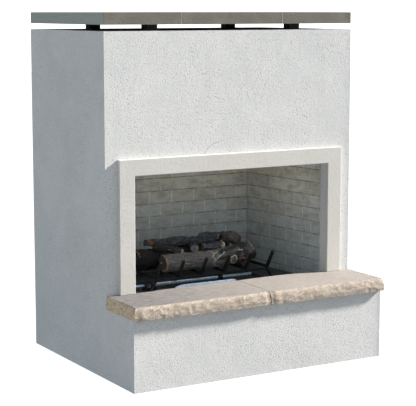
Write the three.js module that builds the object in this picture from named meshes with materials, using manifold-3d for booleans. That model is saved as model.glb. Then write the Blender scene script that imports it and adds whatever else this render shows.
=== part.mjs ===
// Outdoor gas fireplace: a stuccoed block body on a raised stone hearth, with a splayed firebox lined in
// brick relief, notched ceramic logs on a bent-bar grate, and a stone cap on four pads.
// Millimetres, +Z up, the front faces -Y. The origin lies on the ground under the middle of the part.
import * as THREE from 'three';
import { mergeVertices } from 'three/addons/utils/BufferGeometryUtils.js';
import Module from 'manifold-3d';

const wasm = await Module();
wasm.setup();

// Body, built round its firebox, and the raised hearth
const openingMargin = 138;
const rearSpace = 56;
const hearthReach = 266;
const wallThickness = 90;
const frontWallThickness = 42;
const plinthHeight = 264;
const baseSlabThickness = 60;
const bodyTop = 1553;

// Clearance of seated pieces, and how far a cutter runs past the face that it cuts
const seatGap = 0.3;
const overrun = 10;

// Hearth stones with pitched faces
const hearthThickness = 58;
const hearthOverhang = 14;
const hearthTongue = 24;
const tongueWander = 13;
const rockBulge = 12;
const endBulge = 6;
const rockStep = 46;
const jointFrontPlace = 28;
const jointBackPlace = 41;
const hearthJointWidth = 3;

// Opening and the flat surround round it
const openingWidth = 1044;
const openingHeight = 532;
const surroundLegWidth = 78;
const surroundHeadHeight = 76;
const surroundThickness = 20;

// Crown slab and the plate round the flue outlet
const crownThickness = 60;
const crownFrontRim = 130;
const crownRearRim = 148;
const crownSideRim = 123;
const plateThickness = 5;
const plateLap = 12;

// Cap stones, the grout between them, their bars and pads
const padSize = 55;
const padHeight = 28;
const padSideInset = 277;
const padFrontInset = 100;
const padRearInset = 116;
const capThickness = 53;
const capMiddleWidth = 536;
const capJointWidth = 4;
const capJointSetback = 1.5;
const capBarWidth = 50;
const capBarThickness = 6;
const capBarEndInset = 40;

// Firebox floor and its splayed lining in brick relief
const floorThickness = 12;
const fireboxDepth = 574;
const splayIn = 64;
const liningThickness = 38;
const brickLength = 127;
const courseHeight = 63.5;
const firstCourseHeight = 29;
const brickJointWidth = 5;
const brickJointDepth = 3;

// Lintel, smoke hood and flue
const lintelDepth = 64;
const lintelHeight = 75;
const lintelThickness = 6;
const hoodThickness = 3;
const hoodHeight = 326;
const flueWidth = 340;
const flueWall = 20;

// Strip on edge behind the hearth stones
const stripLeftEnd = -293;
const stripRightEnd = 36;
const stripThickness = 3;
const stripHeight = 58;
const stripFoot = 33;
const stripSetback = 3;

// Grate of bent bars
const tineCount = 6;
const tineSpacing = 124;
const grateMiddle = 7;
const barSize = 12;
const tineHeight = 60;
const tineSetback = 157;
const grateRearSpace = 137;
const prongRise = 82;
const prongLean = 52;
const rearProngRise = 74;
const rearProngLean = 40;
const crossbarSize = 10;
const legSpread = 32;

// Burner tube, its clip and pan
const burnerDiameter = 20;
const burnerWall = 1.5;
const burnerSetback = 178;
const burnerLeftEnd = -306;
const burnerRightEnd = 236;
const clipPlace = 58;
const clipWidth = 26;
const clipThickness = 2.5;
const panLeftEnd = -300;
const panRightEnd = 285;
const panFrontInset = 37;
const panDepth = 275;
const panHeight = 15;
const panWall = 2;

// Gas valve with its knob and supply tube
const nutDiameter = 14;
const nutLength = 16;
const nippleReach = 12;
const valveWidth = 33;
const valveDepth = 30;
const valveHeight = 41;
const knobInset = 16;
const knobDiameter = 18;
const knobThickness = 7;
const gripHeight = 8;
const gripWidth = 5;
const knobStandOff = 1;
const stemDiameter = 6;
const stemLength = 14;
const stemClearance = 0.4;
const supplyDiameter = 10;
const supplyClearance = 1;
const supplyBend = 15;
const supplyFootHeight = 8;

// Logs, by the radius of each at its thickest
const frontLogRadius = 55;
const rearLogRadius = 46;
const topLogRadius = 28;
const branchRadius = 19;
const roundEndRadius = 24;
const splitLogRadius = 20;
const thickLogRadius = 30;
const logClearance = 0.4;

// Heights above the ground
const baseSlabTop = plinthHeight + baseSlabThickness;
const hearthTop = baseSlabTop + hearthThickness;
const floorTop = baseSlabTop + floorThickness;
const openingTop = hearthTop + openingHeight;
const crownBottom = bodyTop - crownThickness;
const capBottom = bodyTop + padHeight;
const capTop = capBottom + capThickness;
const liningBottom = floorTop + seatGap;
const liningTop = openingTop;
const hoodBottom = liningTop + seatGap;
const hoodTop = hoodBottom + hoodHeight;
const tineCentre = floorTop + tineHeight;
const tineTop = tineCentre + barSize / 2;
const tineBottom = tineCentre - barSize / 2;
const crossbarTop = tineBottom - seatGap;
const crossbarBottom = crossbarTop - crossbarSize;
const burnerRadius = burnerDiameter / 2;
const burnerCentre = floorTop + panHeight + burnerRadius + seatGap * 2;

// Depths behind the plinth's face
const bodyFront = hearthReach;
const liningFront = bodyFront + frontWallThickness;
const liningBack = liningFront + fireboxDepth;
const bodyBack = liningBack + liningThickness + rearSpace + wallThickness;
const crownOpening = [bodyFront + crownFrontRim, bodyBack - crownRearRim];
const flueCentre = (crownOpening[0] + crownOpening[1]) / 2;
const tineFront = liningFront + tineSetback;
const tineRun = fireboxDepth - tineSetback - grateRearSpace;
const burnerLine = liningFront + burnerSetback;

// Half widths from the middle of the part
const openingHalf = openingWidth / 2;
const backHalf = openingHalf - splayIn;
const halfWidth = openingHalf + openingMargin;
const innerHalf = halfWidth - wallThickness;
const tineOuter = (tineSpacing * (tineCount - 1)) / 2;

// Half width of the firebox between its splayed linings, at a depth
function fireboxHalfAt(depth) {
  return openingHalf + (backHalf - openingHalf) * ((depth - liningFront) / fireboxDepth);
}

const liningOuterAtBurner = fireboxHalfAt(burnerLine) + liningThickness;
const supplyLine = -(innerHalf + liningOuterAtBurner) / 2;
const supplyHoleDiameter = supplyDiameter + 2 * supplyClearance;

// The group carries the pieces, drawn behind the plinth's face, to the middle of the part.
const fireplace = new THREE.Group();
const hearthFrontReach = hearthOverhang + rockBulge;
fireplace.position.set(0, -(bodyBack - hearthFrontReach) / 2, 0);

function addPiece(name, geometry, material) {
  const mesh = new THREE.Mesh(geometry, material);
  mesh.name = name;
  fireplace.add(mesh);
}

// Materials
const matt = (color) => new THREE.MeshStandardMaterial({ color, roughness: 0.92, metalness: 0 });
const metal = (color, roughness) => new THREE.MeshStandardMaterial({ color, roughness, metalness: 0.9 });
const stucco = matt('#dcdcdb');
const blockwork = matt('#b4b4b0');
const castStone = matt('#dedbd4');
const sandstone = matt('#c9b8a6');
const capStone = matt('#7e796f');
const grout = matt('#b5b2a9');
const firebrick = matt('#7d7a6e');
const fireboxBlack = matt('#1d1f22');
const padRubber = matt('#141312');
const flueClay = matt('#a8785a');
const charredBark = matt('#3a332f');
const blackBark = matt('#26262a');
const blackSteel = metal('#17171a', 0.6);
const zincSteel = metal('#9aa7b1', 0.4);
const burnerSteel = metal('#a9b6c0', 0.25);

// Solids for cutting and joining
function toSolid(geometry) {
  const bare = geometry.clone();
  bare.deleteAttribute('normal');
  bare.deleteAttribute('uv');
  const merged = mergeVertices(bare);
  const vertProperties = new Float32Array(merged.attributes.position.array);
  const triVerts = new Uint32Array(merged.index.array);
  return new wasm.Manifold(new wasm.Mesh({ numProp: 3, vertProperties, triVerts }));
}

function toGeometry(solid) {
  const mesh = solid.getMesh();
  const geometry = new THREE.BufferGeometry();
  geometry.setAttribute('position', new THREE.BufferAttribute(mesh.vertProperties, 3));
  geometry.setIndex(new THREE.BufferAttribute(mesh.triVerts, 1));
  return geometry;
}

function cut(geometry, cutters) {
  return toGeometry(cutters.reduce((solid, cutter) => solid.subtract(toSolid(cutter)), toSolid(geometry)));
}

function join(first, ...others) {
  return toGeometry(others.reduce((solid, other) => solid.add(toSolid(other)), toSolid(first)));
}

// The same piece for the other side of the part
function mirrored(geometry) {
  const copy = geometry.clone().scale(-1, 1, 1);
  const index = copy.index.array;
  for (let i = 0; i < index.length; i += 3) {
    [index[i + 1], index[i + 2]] = [index[i + 2], index[i + 1]];
  }
  return copy;
}

// Blocks, extrusions and rods, given by the faces that they reach
function block(x, y, z) {
  const geometry = new THREE.BoxGeometry(x[1] - x[0], y[1] - y[0], z[1] - z[0]);
  return geometry.translate((x[0] + x[1]) / 2, (y[0] + y[1]) / 2, (z[0] + z[1]) / 2);
}

function outline(points) {
  return new THREE.Shape(points.map(([u, v]) => new THREE.Vector2(u, v)));
}

function rectangle(u, v) {
  return outline([[u[0], v[0]], [u[1], v[0]], [u[1], v[1]], [u[0], v[1]]]);
}

function extrude(shape, depth) {
  return new THREE.ExtrudeGeometry(shape, { depth, bevelEnabled: false });
}

function extrudeUp(shape, z) {
  return extrude(shape, z[1] - z[0]).translate(0, 0, z[0]);
}

function extrudeBack(shape, y) {
  return extrude(shape, y[1] - y[0]).rotateX(Math.PI / 2).translate(0, y[1], 0);
}

function extrudeAcross(shape, x) {
  const depthAxis = new THREE.Vector3(0, 1, 0);
  const heightAxis = new THREE.Vector3(0, 0, 1);
  const acrossAxis = new THREE.Vector3(1, 0, 0);
  const turn = new THREE.Matrix4().makeBasis(depthAxis, heightAxis, acrossAxis);
  return extrude(shape, x[1] - x[0]).applyMatrix4(turn).translate(x[0], 0, 0);
}

function rodAcross(diameter, x, y, z, sides) {
  const rod = new THREE.CylinderGeometry(diameter / 2, diameter / 2, x[1] - x[0], sides);
  return rod.rotateZ(-Math.PI / 2).translate((x[0] + x[1]) / 2, y, z);
}

function rodBack(diameter, x, y, z, sides) {
  const rod = new THREE.CylinderGeometry(diameter / 2, diameter / 2, y[1] - y[0], sides);
  return rod.translate(x, (y[0] + y[1]) / 2, z);
}

function rodUp(diameter, x, y, z, sides) {
  const rod = new THREE.CylinderGeometry(diameter / 2, diameter / 2, z[1] - z[0], sides);
  return rod.rotateX(Math.PI / 2).translate(x, y, (z[0] + z[1]) / 2);
}

// Hole that the gas supply tube comes up through, between the body wall and the lining
function supplyHoleDown() {
  const z = [plinthHeight - overrun, floorTop + overrun];
  return rodUp(supplyHoleDiameter, supplyLine, burnerLine, z, 12);
}

// Plinth: four walls on the ground, and the slab over them that carries the body and the hearth
function addPlinth() {
  const z = [0, plinthHeight];
  const leftWall = block([-halfWidth, -innerHalf], [wallThickness, bodyBack], z);
  const rightWall = block([innerHalf, halfWidth], [wallThickness, bodyBack], z);
  const rearWall = block([-innerHalf, innerHalf], [bodyBack - wallThickness, bodyBack], z);
  addPiece('plinth_front_wall', block([-halfWidth, halfWidth], [0, wallThickness], z), stucco);
  addPiece('plinth_left_wall', leftWall, stucco);
  addPiece('plinth_right_wall', rightWall, stucco);
  addPiece('plinth_rear_wall', rearWall, stucco);
  const slab = block([-halfWidth, halfWidth], [0, bodyBack], [plinthHeight, baseSlabTop]);
  addPiece('base_slab', cut(slab, [supplyHoleDown()]), blockwork);
}

// Hearth stones. The pitched face swells from its arrises by amounts that wander along the stone, and
// its upper arris is struck off. The rows of the face are given from its foot to the top of the stone.
const bellyShares = [0.35, 0.9, 1, 0.1];
const rowHeightShares = [0, 0.3, 0.8, 1];

function pitchedShare(along, level) {
  const wander = 0.72 + 0.3 * Math.sin(along * 1.9) + 0.24 * Math.sin(along * 4.3 + level * 2.1);
  return Math.min(1, Math.max(0, wander * bellyShares[level]));
}

function hearthStone(x, jointSide) {
  const y = [-hearthOverhang, bodyFront + hearthTongue];
  const rows = bellyShares.length - 1;
  const across = Math.round((x[1] - x[0]) / rockStep);
  const deep = Math.round((y[1] - y[0]) / rockStep);
  const stone = new THREE.BoxGeometry(x[1] - x[0], y[1] - y[0], hearthThickness, across, deep, rows);
  stone.translate((x[0] + x[1]) / 2, (y[0] + y[1]) / 2, baseSlabTop + hearthThickness / 2);
  const place = stone.attributes.position;
  const endFace = jointSide > 0 ? x[0] : x[1];
  const jointFace = jointSide > 0 ? x[1] : x[0];
  for (let i = 0; i < place.count; i += 1) {
    const px = place.getX(i);
    const py = place.getY(i);
    const level = Math.round((rows * (place.getZ(i) - baseSlabTop)) / hearthThickness);
    place.setZ(i, baseSlabTop + hearthThickness * rowHeightShares[level]);
    if (Math.abs(py - y[1]) < seatGap) {
      place.setY(i, py - tongueWander * pitchedShare(px / rockStep, rows - 1));
    }
    if (Math.abs(py - y[0]) < seatGap) {
      place.setY(i, py - rockBulge * pitchedShare(px / rockStep, level));
    }
    if (Math.abs(px - endFace) < seatGap) {
      place.setX(i, px - jointSide * endBulge * pitchedShare(py / rockStep, level));
    }
    if (Math.abs(px - jointFace) < seatGap) {
      const backShare = (py - y[0]) / (y[1] - y[0]);
      place.setX(i, px + (jointBackPlace - jointFrontPlace) * backShare);
    }
  }
  const outer = halfWidth + endBulge + overrun;
  const inner = openingHalf - seatGap;
  const shoulder = block(
    jointSide > 0 ? [-outer, -inner] : [inner, outer],
    [bodyFront - seatGap, y[1] + overrun],
    [baseSlabTop - overrun, hearthTop + overrun],
  );
  return cut(stone, [shoulder]);
}

function addHearth() {
  const halfJoint = hearthJointWidth / 2;
  const left = hearthStone([-halfWidth, jointFrontPlace - halfJoint], 1);
  const right = hearthStone([jointFrontPlace + halfJoint, halfWidth], -1);
  addPiece('hearth_slab_left', left, sandstone);
  addPiece('hearth_slab_right', right, sandstone);

  const front = bodyFront + hearthTongue + stripSetback;
  const strip = outline([
    [front, liningBottom],
    [front + stripFoot, liningBottom],
    [front + stripFoot, liningBottom + stripThickness],
    [front + stripThickness, liningBottom + stripThickness],
    [front + stripThickness, liningBottom + stripHeight],
    [front, liningBottom + stripHeight],
  ]);
  addPiece('hearth_edge_strip', extrudeAcross(strip, [stripLeftEnd, stripRightEnd]), zincSteel);
}

// Body walls; the front one is an upside-down U round the opening
function addBodyWalls() {
  const z = [baseSlabTop, crownBottom];
  addPiece('body_left_wall', block([-halfWidth, -innerHalf], [liningFront, bodyBack], z), stucco);
  addPiece('body_right_wall', block([innerHalf, halfWidth], [liningFront, bodyBack], z), stucco);
  addPiece('body_rear_wall', block([-innerHalf, innerHalf], [bodyBack - wallThickness, bodyBack], z), stucco);
  const frontWall = outline([
    [-halfWidth, baseSlabTop],
    [-openingHalf, baseSlabTop],
    [-openingHalf, openingTop],
    [openingHalf, openingTop],
    [openingHalf, baseSlabTop],
    [halfWidth, baseSlabTop],
    [halfWidth, crownBottom],
    [-halfWidth, crownBottom],
  ]);
  addPiece('body_front_wall', extrudeBack(frontWall, [bodyFront, liningFront]), stucco);
}

// Surround: two legs on the hearth and a head over them, flat against the front wall
function addSurround() {
  const outer = openingHalf + surroundLegWidth;
  const y = [bodyFront - surroundThickness, bodyFront];
  const head = block([-outer, outer], y, [openingTop, openingTop + surroundHeadHeight]);
  addPiece('surround_left', block([-outer, -openingHalf], y, [hearthTop, openingTop]), castStone);
  addPiece('surround_right', block([openingHalf, outer], y, [hearthTop, openingTop]), castStone);
  addPiece('surround_head', head, castStone);
}

// Crown: a slab over the walls, open in the middle and rebated for the plate round the flue outlet
function addCrown() {
  const half = halfWidth - crownSideRim;
  const y = crownOpening;
  const slab = block([-halfWidth, halfWidth], [bodyFront, bodyBack], [crownBottom, bodyTop]);
  const hollow = block([-half, half], y, [crownBottom - overrun, bodyTop + overrun]);
  const rebate = block(
    [-half - plateLap, half + plateLap],
    [y[0] - plateLap, y[1] + plateLap],
    [bodyTop - plateThickness, bodyTop + overrun],
  );
  addPiece('crown_slab', cut(slab, [hollow, rebate]), stucco);

  const lap = plateLap - seatGap;
  const outlet = flueWidth / 2 - flueWall;
  const plate = rectangle([-half - lap, half + lap], [y[0] - lap, y[1] + lap]);
  plate.holes.push(rectangle([-outlet, outlet], [flueCentre - outlet, flueCentre + outlet]));
  addPiece('top_plate', extrudeUp(plate, [bodyTop - plateThickness, bodyTop]), blackSteel);
}

// Cap: pads on the crown, three stones with grout between them, and two flat bars let in from below
const padRows = [
  ['front', bodyFront + padFrontInset],
  ['rear', bodyBack - padRearInset],
];

// Flat bar along a row of pads; spare widens it all round, to cut its bed in the stones
function capBar(depth, spare) {
  const reach = halfWidth - capBarEndInset + spare;
  const y = [depth - capBarWidth / 2 - spare, depth + capBarWidth / 2 + spare];
  return block([-reach, reach], y, [capBottom - spare, capBottom + capBarThickness + spare]);
}

// Cap stone or joint between two places across, with its faces drawn in by a setback
function capStoneBetween(x, setback) {
  const y = [bodyFront + setback, bodyBack - setback];
  const beds = padRows.map(([, depth]) => capBar(depth, seatGap));
  return cut(block(x, y, [capBottom, capTop - setback]), beds);
}

function addCap() {
  const padPlace = halfWidth - padSideInset;
  for (const [row, depth] of padRows) {
    for (const [side, sideName] of [[-1, 'left'], [1, 'right']]) {
      const x = side * padPlace;
      const half = padSize / 2;
      const pad = block([x - half, x + half], [depth - half, depth + half], [bodyTop, capBottom]);
      addPiece(`cap_pad_${row}_${sideName}`, pad, padRubber);
    }
    addPiece(`cap_bar_${row}`, capBar(depth, 0), zincSteel);
  }
  const middle = capMiddleWidth / 2;
  const side = middle + capJointWidth;
  addPiece('cap_slab_left', capStoneBetween([-halfWidth, -side], 0), capStone);
  addPiece('cap_slab_middle', capStoneBetween([-middle, middle], 0), capStone);
  addPiece('cap_slab_right', capStoneBetween([side, halfWidth], 0), capStone);
  addPiece('cap_joint_left', capStoneBetween([-side, -middle], capJointSetback), grout);
  addPiece('cap_joint_right', capStoneBetween([middle, side], capJointSetback), grout);
}

// Joint grooves of a lining panel, as spans along its face from the rear corner and spans of height.
// Courses whose number has the given parity start at the corner with a whole brick, the others with half.
function brickJoints(length, wholeParity) {
  const joints = [];
  const half = brickJointWidth / 2;
  const bedHeight = (course) => floorTop + firstCourseHeight + course * courseHeight;
  for (let course = -1; bedHeight(course) < liningTop; course += 1) {
    const bottom = bedHeight(course);
    const top = bedHeight(course + 1);
    if (course >= 0) {
      joints.push({ along: [-overrun, length + overrun], height: [bottom - half, bottom + half] });
    }
    const startShare = Math.abs(course % 2) === wholeParity ? 1 : 0.5;
    const end = length - 2 * brickJointWidth;
    for (let along = startShare * brickLength; along < end; along += brickLength) {
      joints.push({ along: [along - half, along + half], height: [bottom, top] });
    }
  }
  return joints;
}

// The side panel is drawn for the right: its face runs from the rear corner out to the opening.
function rightLining() {
  const front = liningFront + seatGap;
  const back = liningBack - seatGap;
  const plan = outline([
    [fireboxHalfAt(front), front],
    [fireboxHalfAt(front) + liningThickness, front],
    [fireboxHalfAt(back) + liningThickness, back],
    [fireboxHalfAt(back), back],
  ]);
  const alongFace = new THREE.Vector3(openingHalf - backHalf, -fireboxDepth, 0);
  const length = alongFace.length();
  alongFace.normalize();
  const intoFace = new THREE.Vector3(-alongFace.y, alongFace.x, 0);
  const turn = new THREE.Matrix4().makeBasis(alongFace, intoFace, new THREE.Vector3(0, 0, 1));
  turn.setPosition(backHalf, liningBack, 0);
  const grooves = brickJoints(length, 1).map(({ along, height }) => (
    block(along, [-overrun, brickJointDepth], height).applyMatrix4(turn)
  ));
  return cut(extrudeUp(plan, [liningBottom, liningTop]), grooves);
}

function addFirebox() {
  const floor = block(
    [-innerHalf + seatGap, innerHalf - seatGap],
    [liningFront + seatGap, bodyBack - wallThickness - seatGap],
    [baseSlabTop, floorTop],
  );
  addPiece('firebox_floor', cut(floor, [supplyHoleDown()]), fireboxBlack);

  const backPanel = block(
    [-backHalf - liningThickness, backHalf + liningThickness],
    [liningBack, liningBack + liningThickness],
    [liningBottom, liningTop],
  );
  const grooveY = [liningBack - overrun, liningBack + brickJointDepth];
  const grooves = brickJoints(2 * backHalf, 0).map(({ along, height }) => (
    block([backHalf - along[1], backHalf - along[0]], grooveY, height)
  ));
  addPiece('firebox_back', cut(backPanel, grooves), firebrick);

  const right = rightLining();
  const supplyHole = rodAcross(supplyHoleDiameter, [-innerHalf, -backHalf], burnerLine, burnerCentre, 12);
  addPiece('firebox_right', right, firebrick);
  addPiece('firebox_left', cut(mirrored(right), [supplyHole]), firebrick);
}

// Steel angle over the opening, on the front corners of the side linings
function addLintel() {
  const front = liningFront + seatGap;
  const bottom = liningTop + seatGap;
  const angle = outline([
    [front, bottom],
    [front + lintelDepth, bottom],
    [front + lintelDepth, bottom + lintelThickness],
    [front + lintelThickness, bottom + lintelThickness],
    [front + lintelThickness, bottom + lintelHeight],
    [front, bottom + lintelHeight],
  ]);
  const half = openingHalf + liningThickness;
  addPiece('lintel_angle', extrudeAcross(angle, [-half, half]), zincSteel);
}

// Open-ended sheet funnel between two four-cornered loops
function sheetFunnel(lowerLoop, upperLoop, z, thickness) {
  const inset = (loop) => {
    const middle = (loop[0][1] + loop[2][1]) / 2;
    return loop.map(([x, y]) => [x - Math.sign(x) * thickness, y - Math.sign(y - middle) * thickness]);
  };
  const rings = [
    lowerLoop.map(([x, y]) => [x, y, z[0]]),
    upperLoop.map(([x, y]) => [x, y, z[1]]),
    inset(upperLoop).map(([x, y]) => [x, y, z[1]]),
    inset(lowerLoop).map(([x, y]) => [x, y, z[0]]),
  ];
  const corners = lowerLoop.length;
  const index = [];
  for (let ring = 0; ring < rings.length; ring += 1) {
    const nextRing = (ring + 1) % rings.length;
    for (let corner = 0; corner < corners; corner += 1) {
      const nextCorner = (corner + 1) % corners;
      const a = ring * corners + corner;
      const b = ring * corners + nextCorner;
      const c = nextRing * corners + nextCorner;
      const d = nextRing * corners + corner;
      index.push(a, b, c, a, c, d);
    }
  }
  const geometry = new THREE.BufferGeometry();
  geometry.setAttribute('position', new THREE.Float32BufferAttribute(rings.flat(2), 3));
  geometry.setIndex(index);
  return geometry;
}

function addFlue() {
  const front = liningFront + seatGap + lintelDepth + seatGap;
  const back = liningBack + liningThickness / 2;
  const frontHalf = fireboxHalfAt(front) + liningThickness / 2;
  const rearHalf = backHalf + liningThickness / 2;
  const half = flueWidth / 2;
  const y = [flueCentre - half, flueCentre + half];
  const lower = [[-frontHalf, front], [frontHalf, front], [rearHalf, back], [-rearHalf, back]];
  const upper = [[-half, y[0]], [half, y[0]], [half, y[1]], [-half, y[1]]];
  addPiece('smoke_hood', sheetFunnel(lower, upper, [hoodBottom, hoodTop], hoodThickness), blackSteel);

  const bore = half - flueWall;
  const liner = rectangle([-half, half], y);
  liner.holes.push(rectangle([-bore, bore], [flueCentre - bore, flueCentre + bore]));
  addPiece('flue_liner', extrudeUp(liner, [hoodTop + seatGap, bodyTop - plateThickness - seatGap]), flueClay);
}

// Outline of a bar of constant width along bends in the upright plane, mitred at each bend
function bentBar(points, size) {
  const left = [];
  const right = [];
  points.forEach((point, i) => {
    const arriving = point.clone().sub(points[Math.max(i - 1, 0)]).normalize();
    const leaving = points[Math.min(i + 1, points.length - 1)].clone().sub(point).normalize();
    const straight = i > 0 ? arriving : leaving;
    const tangent = arriving.clone().add(leaving).normalize();
    const normal = new THREE.Vector2(-tangent.y, tangent.x);
    const reach = size / 2 / straight.dot(tangent);
    left.push(point.clone().addScaledVector(normal, reach));
    right.unshift(point.clone().addScaledVector(normal, -reach));
  });
  return new THREE.Shape([...left, ...right]);
}

function addGrate() {
  const tineRear = tineFront + tineRun;
  const tine = bentBar([
    new THREE.Vector2(tineFront - prongLean, tineCentre + prongRise),
    new THREE.Vector2(tineFront, tineCentre),
    new THREE.Vector2(tineRear, tineCentre),
    new THREE.Vector2(tineRear + rearProngLean, tineCentre + rearProngRise),
  ], barSize);
  for (let i = 0; i < tineCount; i += 1) {
    const x = grateMiddle - tineOuter + i * tineSpacing;
    addPiece(`grate_tine_${i + 1}`, extrudeAcross(tine, [x - barSize / 2, x + barSize / 2]), blackSteel);
  }
  for (const [row, depth] of [['front', tineFront], ['rear', tineRear]]) {
    const y = [depth - crossbarSize / 2, depth + crossbarSize / 2];
    const reach = tineOuter + barSize / 2;
    const x = [grateMiddle - reach, grateMiddle + reach];
    addPiece(`grate_${row}_bar`, block(x, y, [crossbarBottom, crossbarTop]), blackSteel);
    for (const [side, sideName] of [[-1, 'left'], [1, 'right']]) {
      const top = crossbarBottom - seatGap;
      const head = grateMiddle + side * tineOuter;
      const foot = head + side * legSpread;
      const leg = outline([
        [foot - barSize / 2, liningBottom],
        [foot + barSize / 2, liningBottom],
        [head + barSize / 2, top],
        [head - barSize / 2, top],
      ]);
      addPiece(`grate_leg_${row}_${sideName}`, extrudeBack(leg, y), blackSteel);
    }
  }
}

// Burner: a tray on the floor, and a tube across its rim, closed at the right and held by a clip
function addBurner() {
  const bore = burnerRadius - burnerWall;
  const length = burnerRightEnd - burnerLeftEnd;
  const profile = [
    [bore, 0],
    [burnerRadius, 0],
    [burnerRadius, length],
    [0, length],
    [0, length - burnerWall],
    [bore, length - burnerWall],
    [bore, 0],
  ];
  const turned = profile.map(([radius, along]) => new THREE.Vector2(radius, along));
  const tube = new THREE.LatheGeometry(turned, 20);
  tube.rotateZ(-Math.PI / 2).translate(burnerLeftEnd, burnerLine, burnerCentre);
  addPiece('burner_tube', tube, burnerSteel);

  const panFront = liningFront + panFrontInset;
  const panTop = floorTop + panHeight + seatGap;
  const tray = block([panLeftEnd, panRightEnd], [panFront, panFront + panDepth], [liningBottom, panTop]);
  const hollow = block(
    [panLeftEnd + panWall, panRightEnd - panWall],
    [panFront + panWall, panFront + panDepth - panWall],
    [liningBottom + panWall, panTop + overrun],
  );
  addPiece('burner_pan', cut(tray, [hollow]), fireboxBlack);

  const x = [clipPlace - clipWidth / 2, clipPlace + clipWidth / 2];
  const band = rodAcross(burnerDiameter + 2 * clipThickness, x, burnerLine, burnerCentre, 20);
  const foot = block(
    x,
    [burnerLine - burnerRadius / 2, burnerLine + burnerRadius / 2],
    [liningBottom + panWall + seatGap, burnerCentre - burnerRadius],
  );
  const seatSpan = [x[0] - overrun, x[1] + overrun];
  const seat = rodAcross(burnerDiameter + 2 * logClearance, seatSpan, burnerLine, burnerCentre, 20);
  addPiece('tube_clip', cut(join(band, foot), [seat]), blackSteel);
}

// Valve with a nipple into the burner tube and a bore for the knob's stem
const valveRight = burnerLeftEnd - nutLength;
const valveLeft = valveRight - valveWidth;
const valveFront = burnerLine - valveDepth / 2;
const knobPlace = valveLeft + knobInset;

function addValve() {
  const valveY = [valveFront, valveFront + valveDepth];
  const body = block([valveLeft, valveRight], valveY, [liningBottom, floorTop + valveHeight]);
  const inside = valveRight - panWall;
  const nut = rodAcross(nutDiameter, [inside, burnerLeftEnd - seatGap], burnerLine, burnerCentre, 6);
  const nippleDiameter = burnerDiameter - 2 * burnerWall - 2 * logClearance;
  const nippleSpan = [inside, burnerLeftEnd + nippleReach];
  const nipple = rodAcross(nippleDiameter, nippleSpan, burnerLine, burnerCentre, 20);
  const boreSpan = [valveFront - overrun, valveFront + stemLength + stemClearance];
  const bore = rodBack(stemDiameter + 2 * stemClearance, knobPlace, boreSpan, burnerCentre, 20);
  addPiece('gas_valve', cut(join(body, nut, nipple), [bore]), blackSteel);
}

// Quarter-turn knob: a disc with a grip across it and a stem that turns in the valve
function addKnob() {
  const back = valveFront - knobStandOff;
  const front = back - knobThickness;
  const insideDisc = front + knobThickness / 2;
  const gripHalf = (knobDiameter - gripWidth) / 2;
  const disc = rodBack(knobDiameter, knobPlace, [front, back], burnerCentre, 24);
  const grip = block(
    [knobPlace - gripWidth / 2, knobPlace + gripWidth / 2],
    [front - gripHeight, insideDisc],
    [burnerCentre - gripHalf, burnerCentre + gripHalf],
  );
  const stem = rodBack(stemDiameter, knobPlace, [insideDisc, valveFront + stemLength], burnerCentre, 20);
  addPiece('valve_knob', join(disc, grip, stem), fireboxBlack);
}

// Supply tube: level from the valve through the left lining, then down between lining and wall
function addSupplyTube() {
  const at = (x, z) => new THREE.Vector3(x, burnerLine, z);
  const bendStart = at(supplyLine + supplyBend, burnerCentre);
  const bendEnd = at(supplyLine, burnerCentre - supplyBend);
  const path = new THREE.CurvePath();
  path.add(new THREE.LineCurve3(at(valveLeft - seatGap, burnerCentre), bendStart));
  path.add(new THREE.QuadraticBezierCurve3(bendStart, at(supplyLine, burnerCentre), bendEnd));
  path.add(new THREE.LineCurve3(bendEnd, at(supplyLine, supplyFootHeight)));
  const section = new THREE.Shape().absarc(0, 0, supplyDiameter / 2, 0, 2 * Math.PI, false);
  const steps = Math.round(path.getLength() / supplyDiameter);
  const tube = new THREE.ExtrudeGeometry(section, { steps, curveSegments: 10, extrudePath: path });
  addPiece('gas_supply_tube', tube, zincSteel);
}

// Logs. Each follows a path given in shares: across the grate's half width from its middle, back along
// its run, up from its base in shares of the log's radius, and the radius itself. Seats come afterwards.
const logSeat = tineTop + seatGap;
const slimShare = 0.8;
const layerTop = logSeat + rearLogRadius + frontLogRadius * slimShare;

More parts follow.
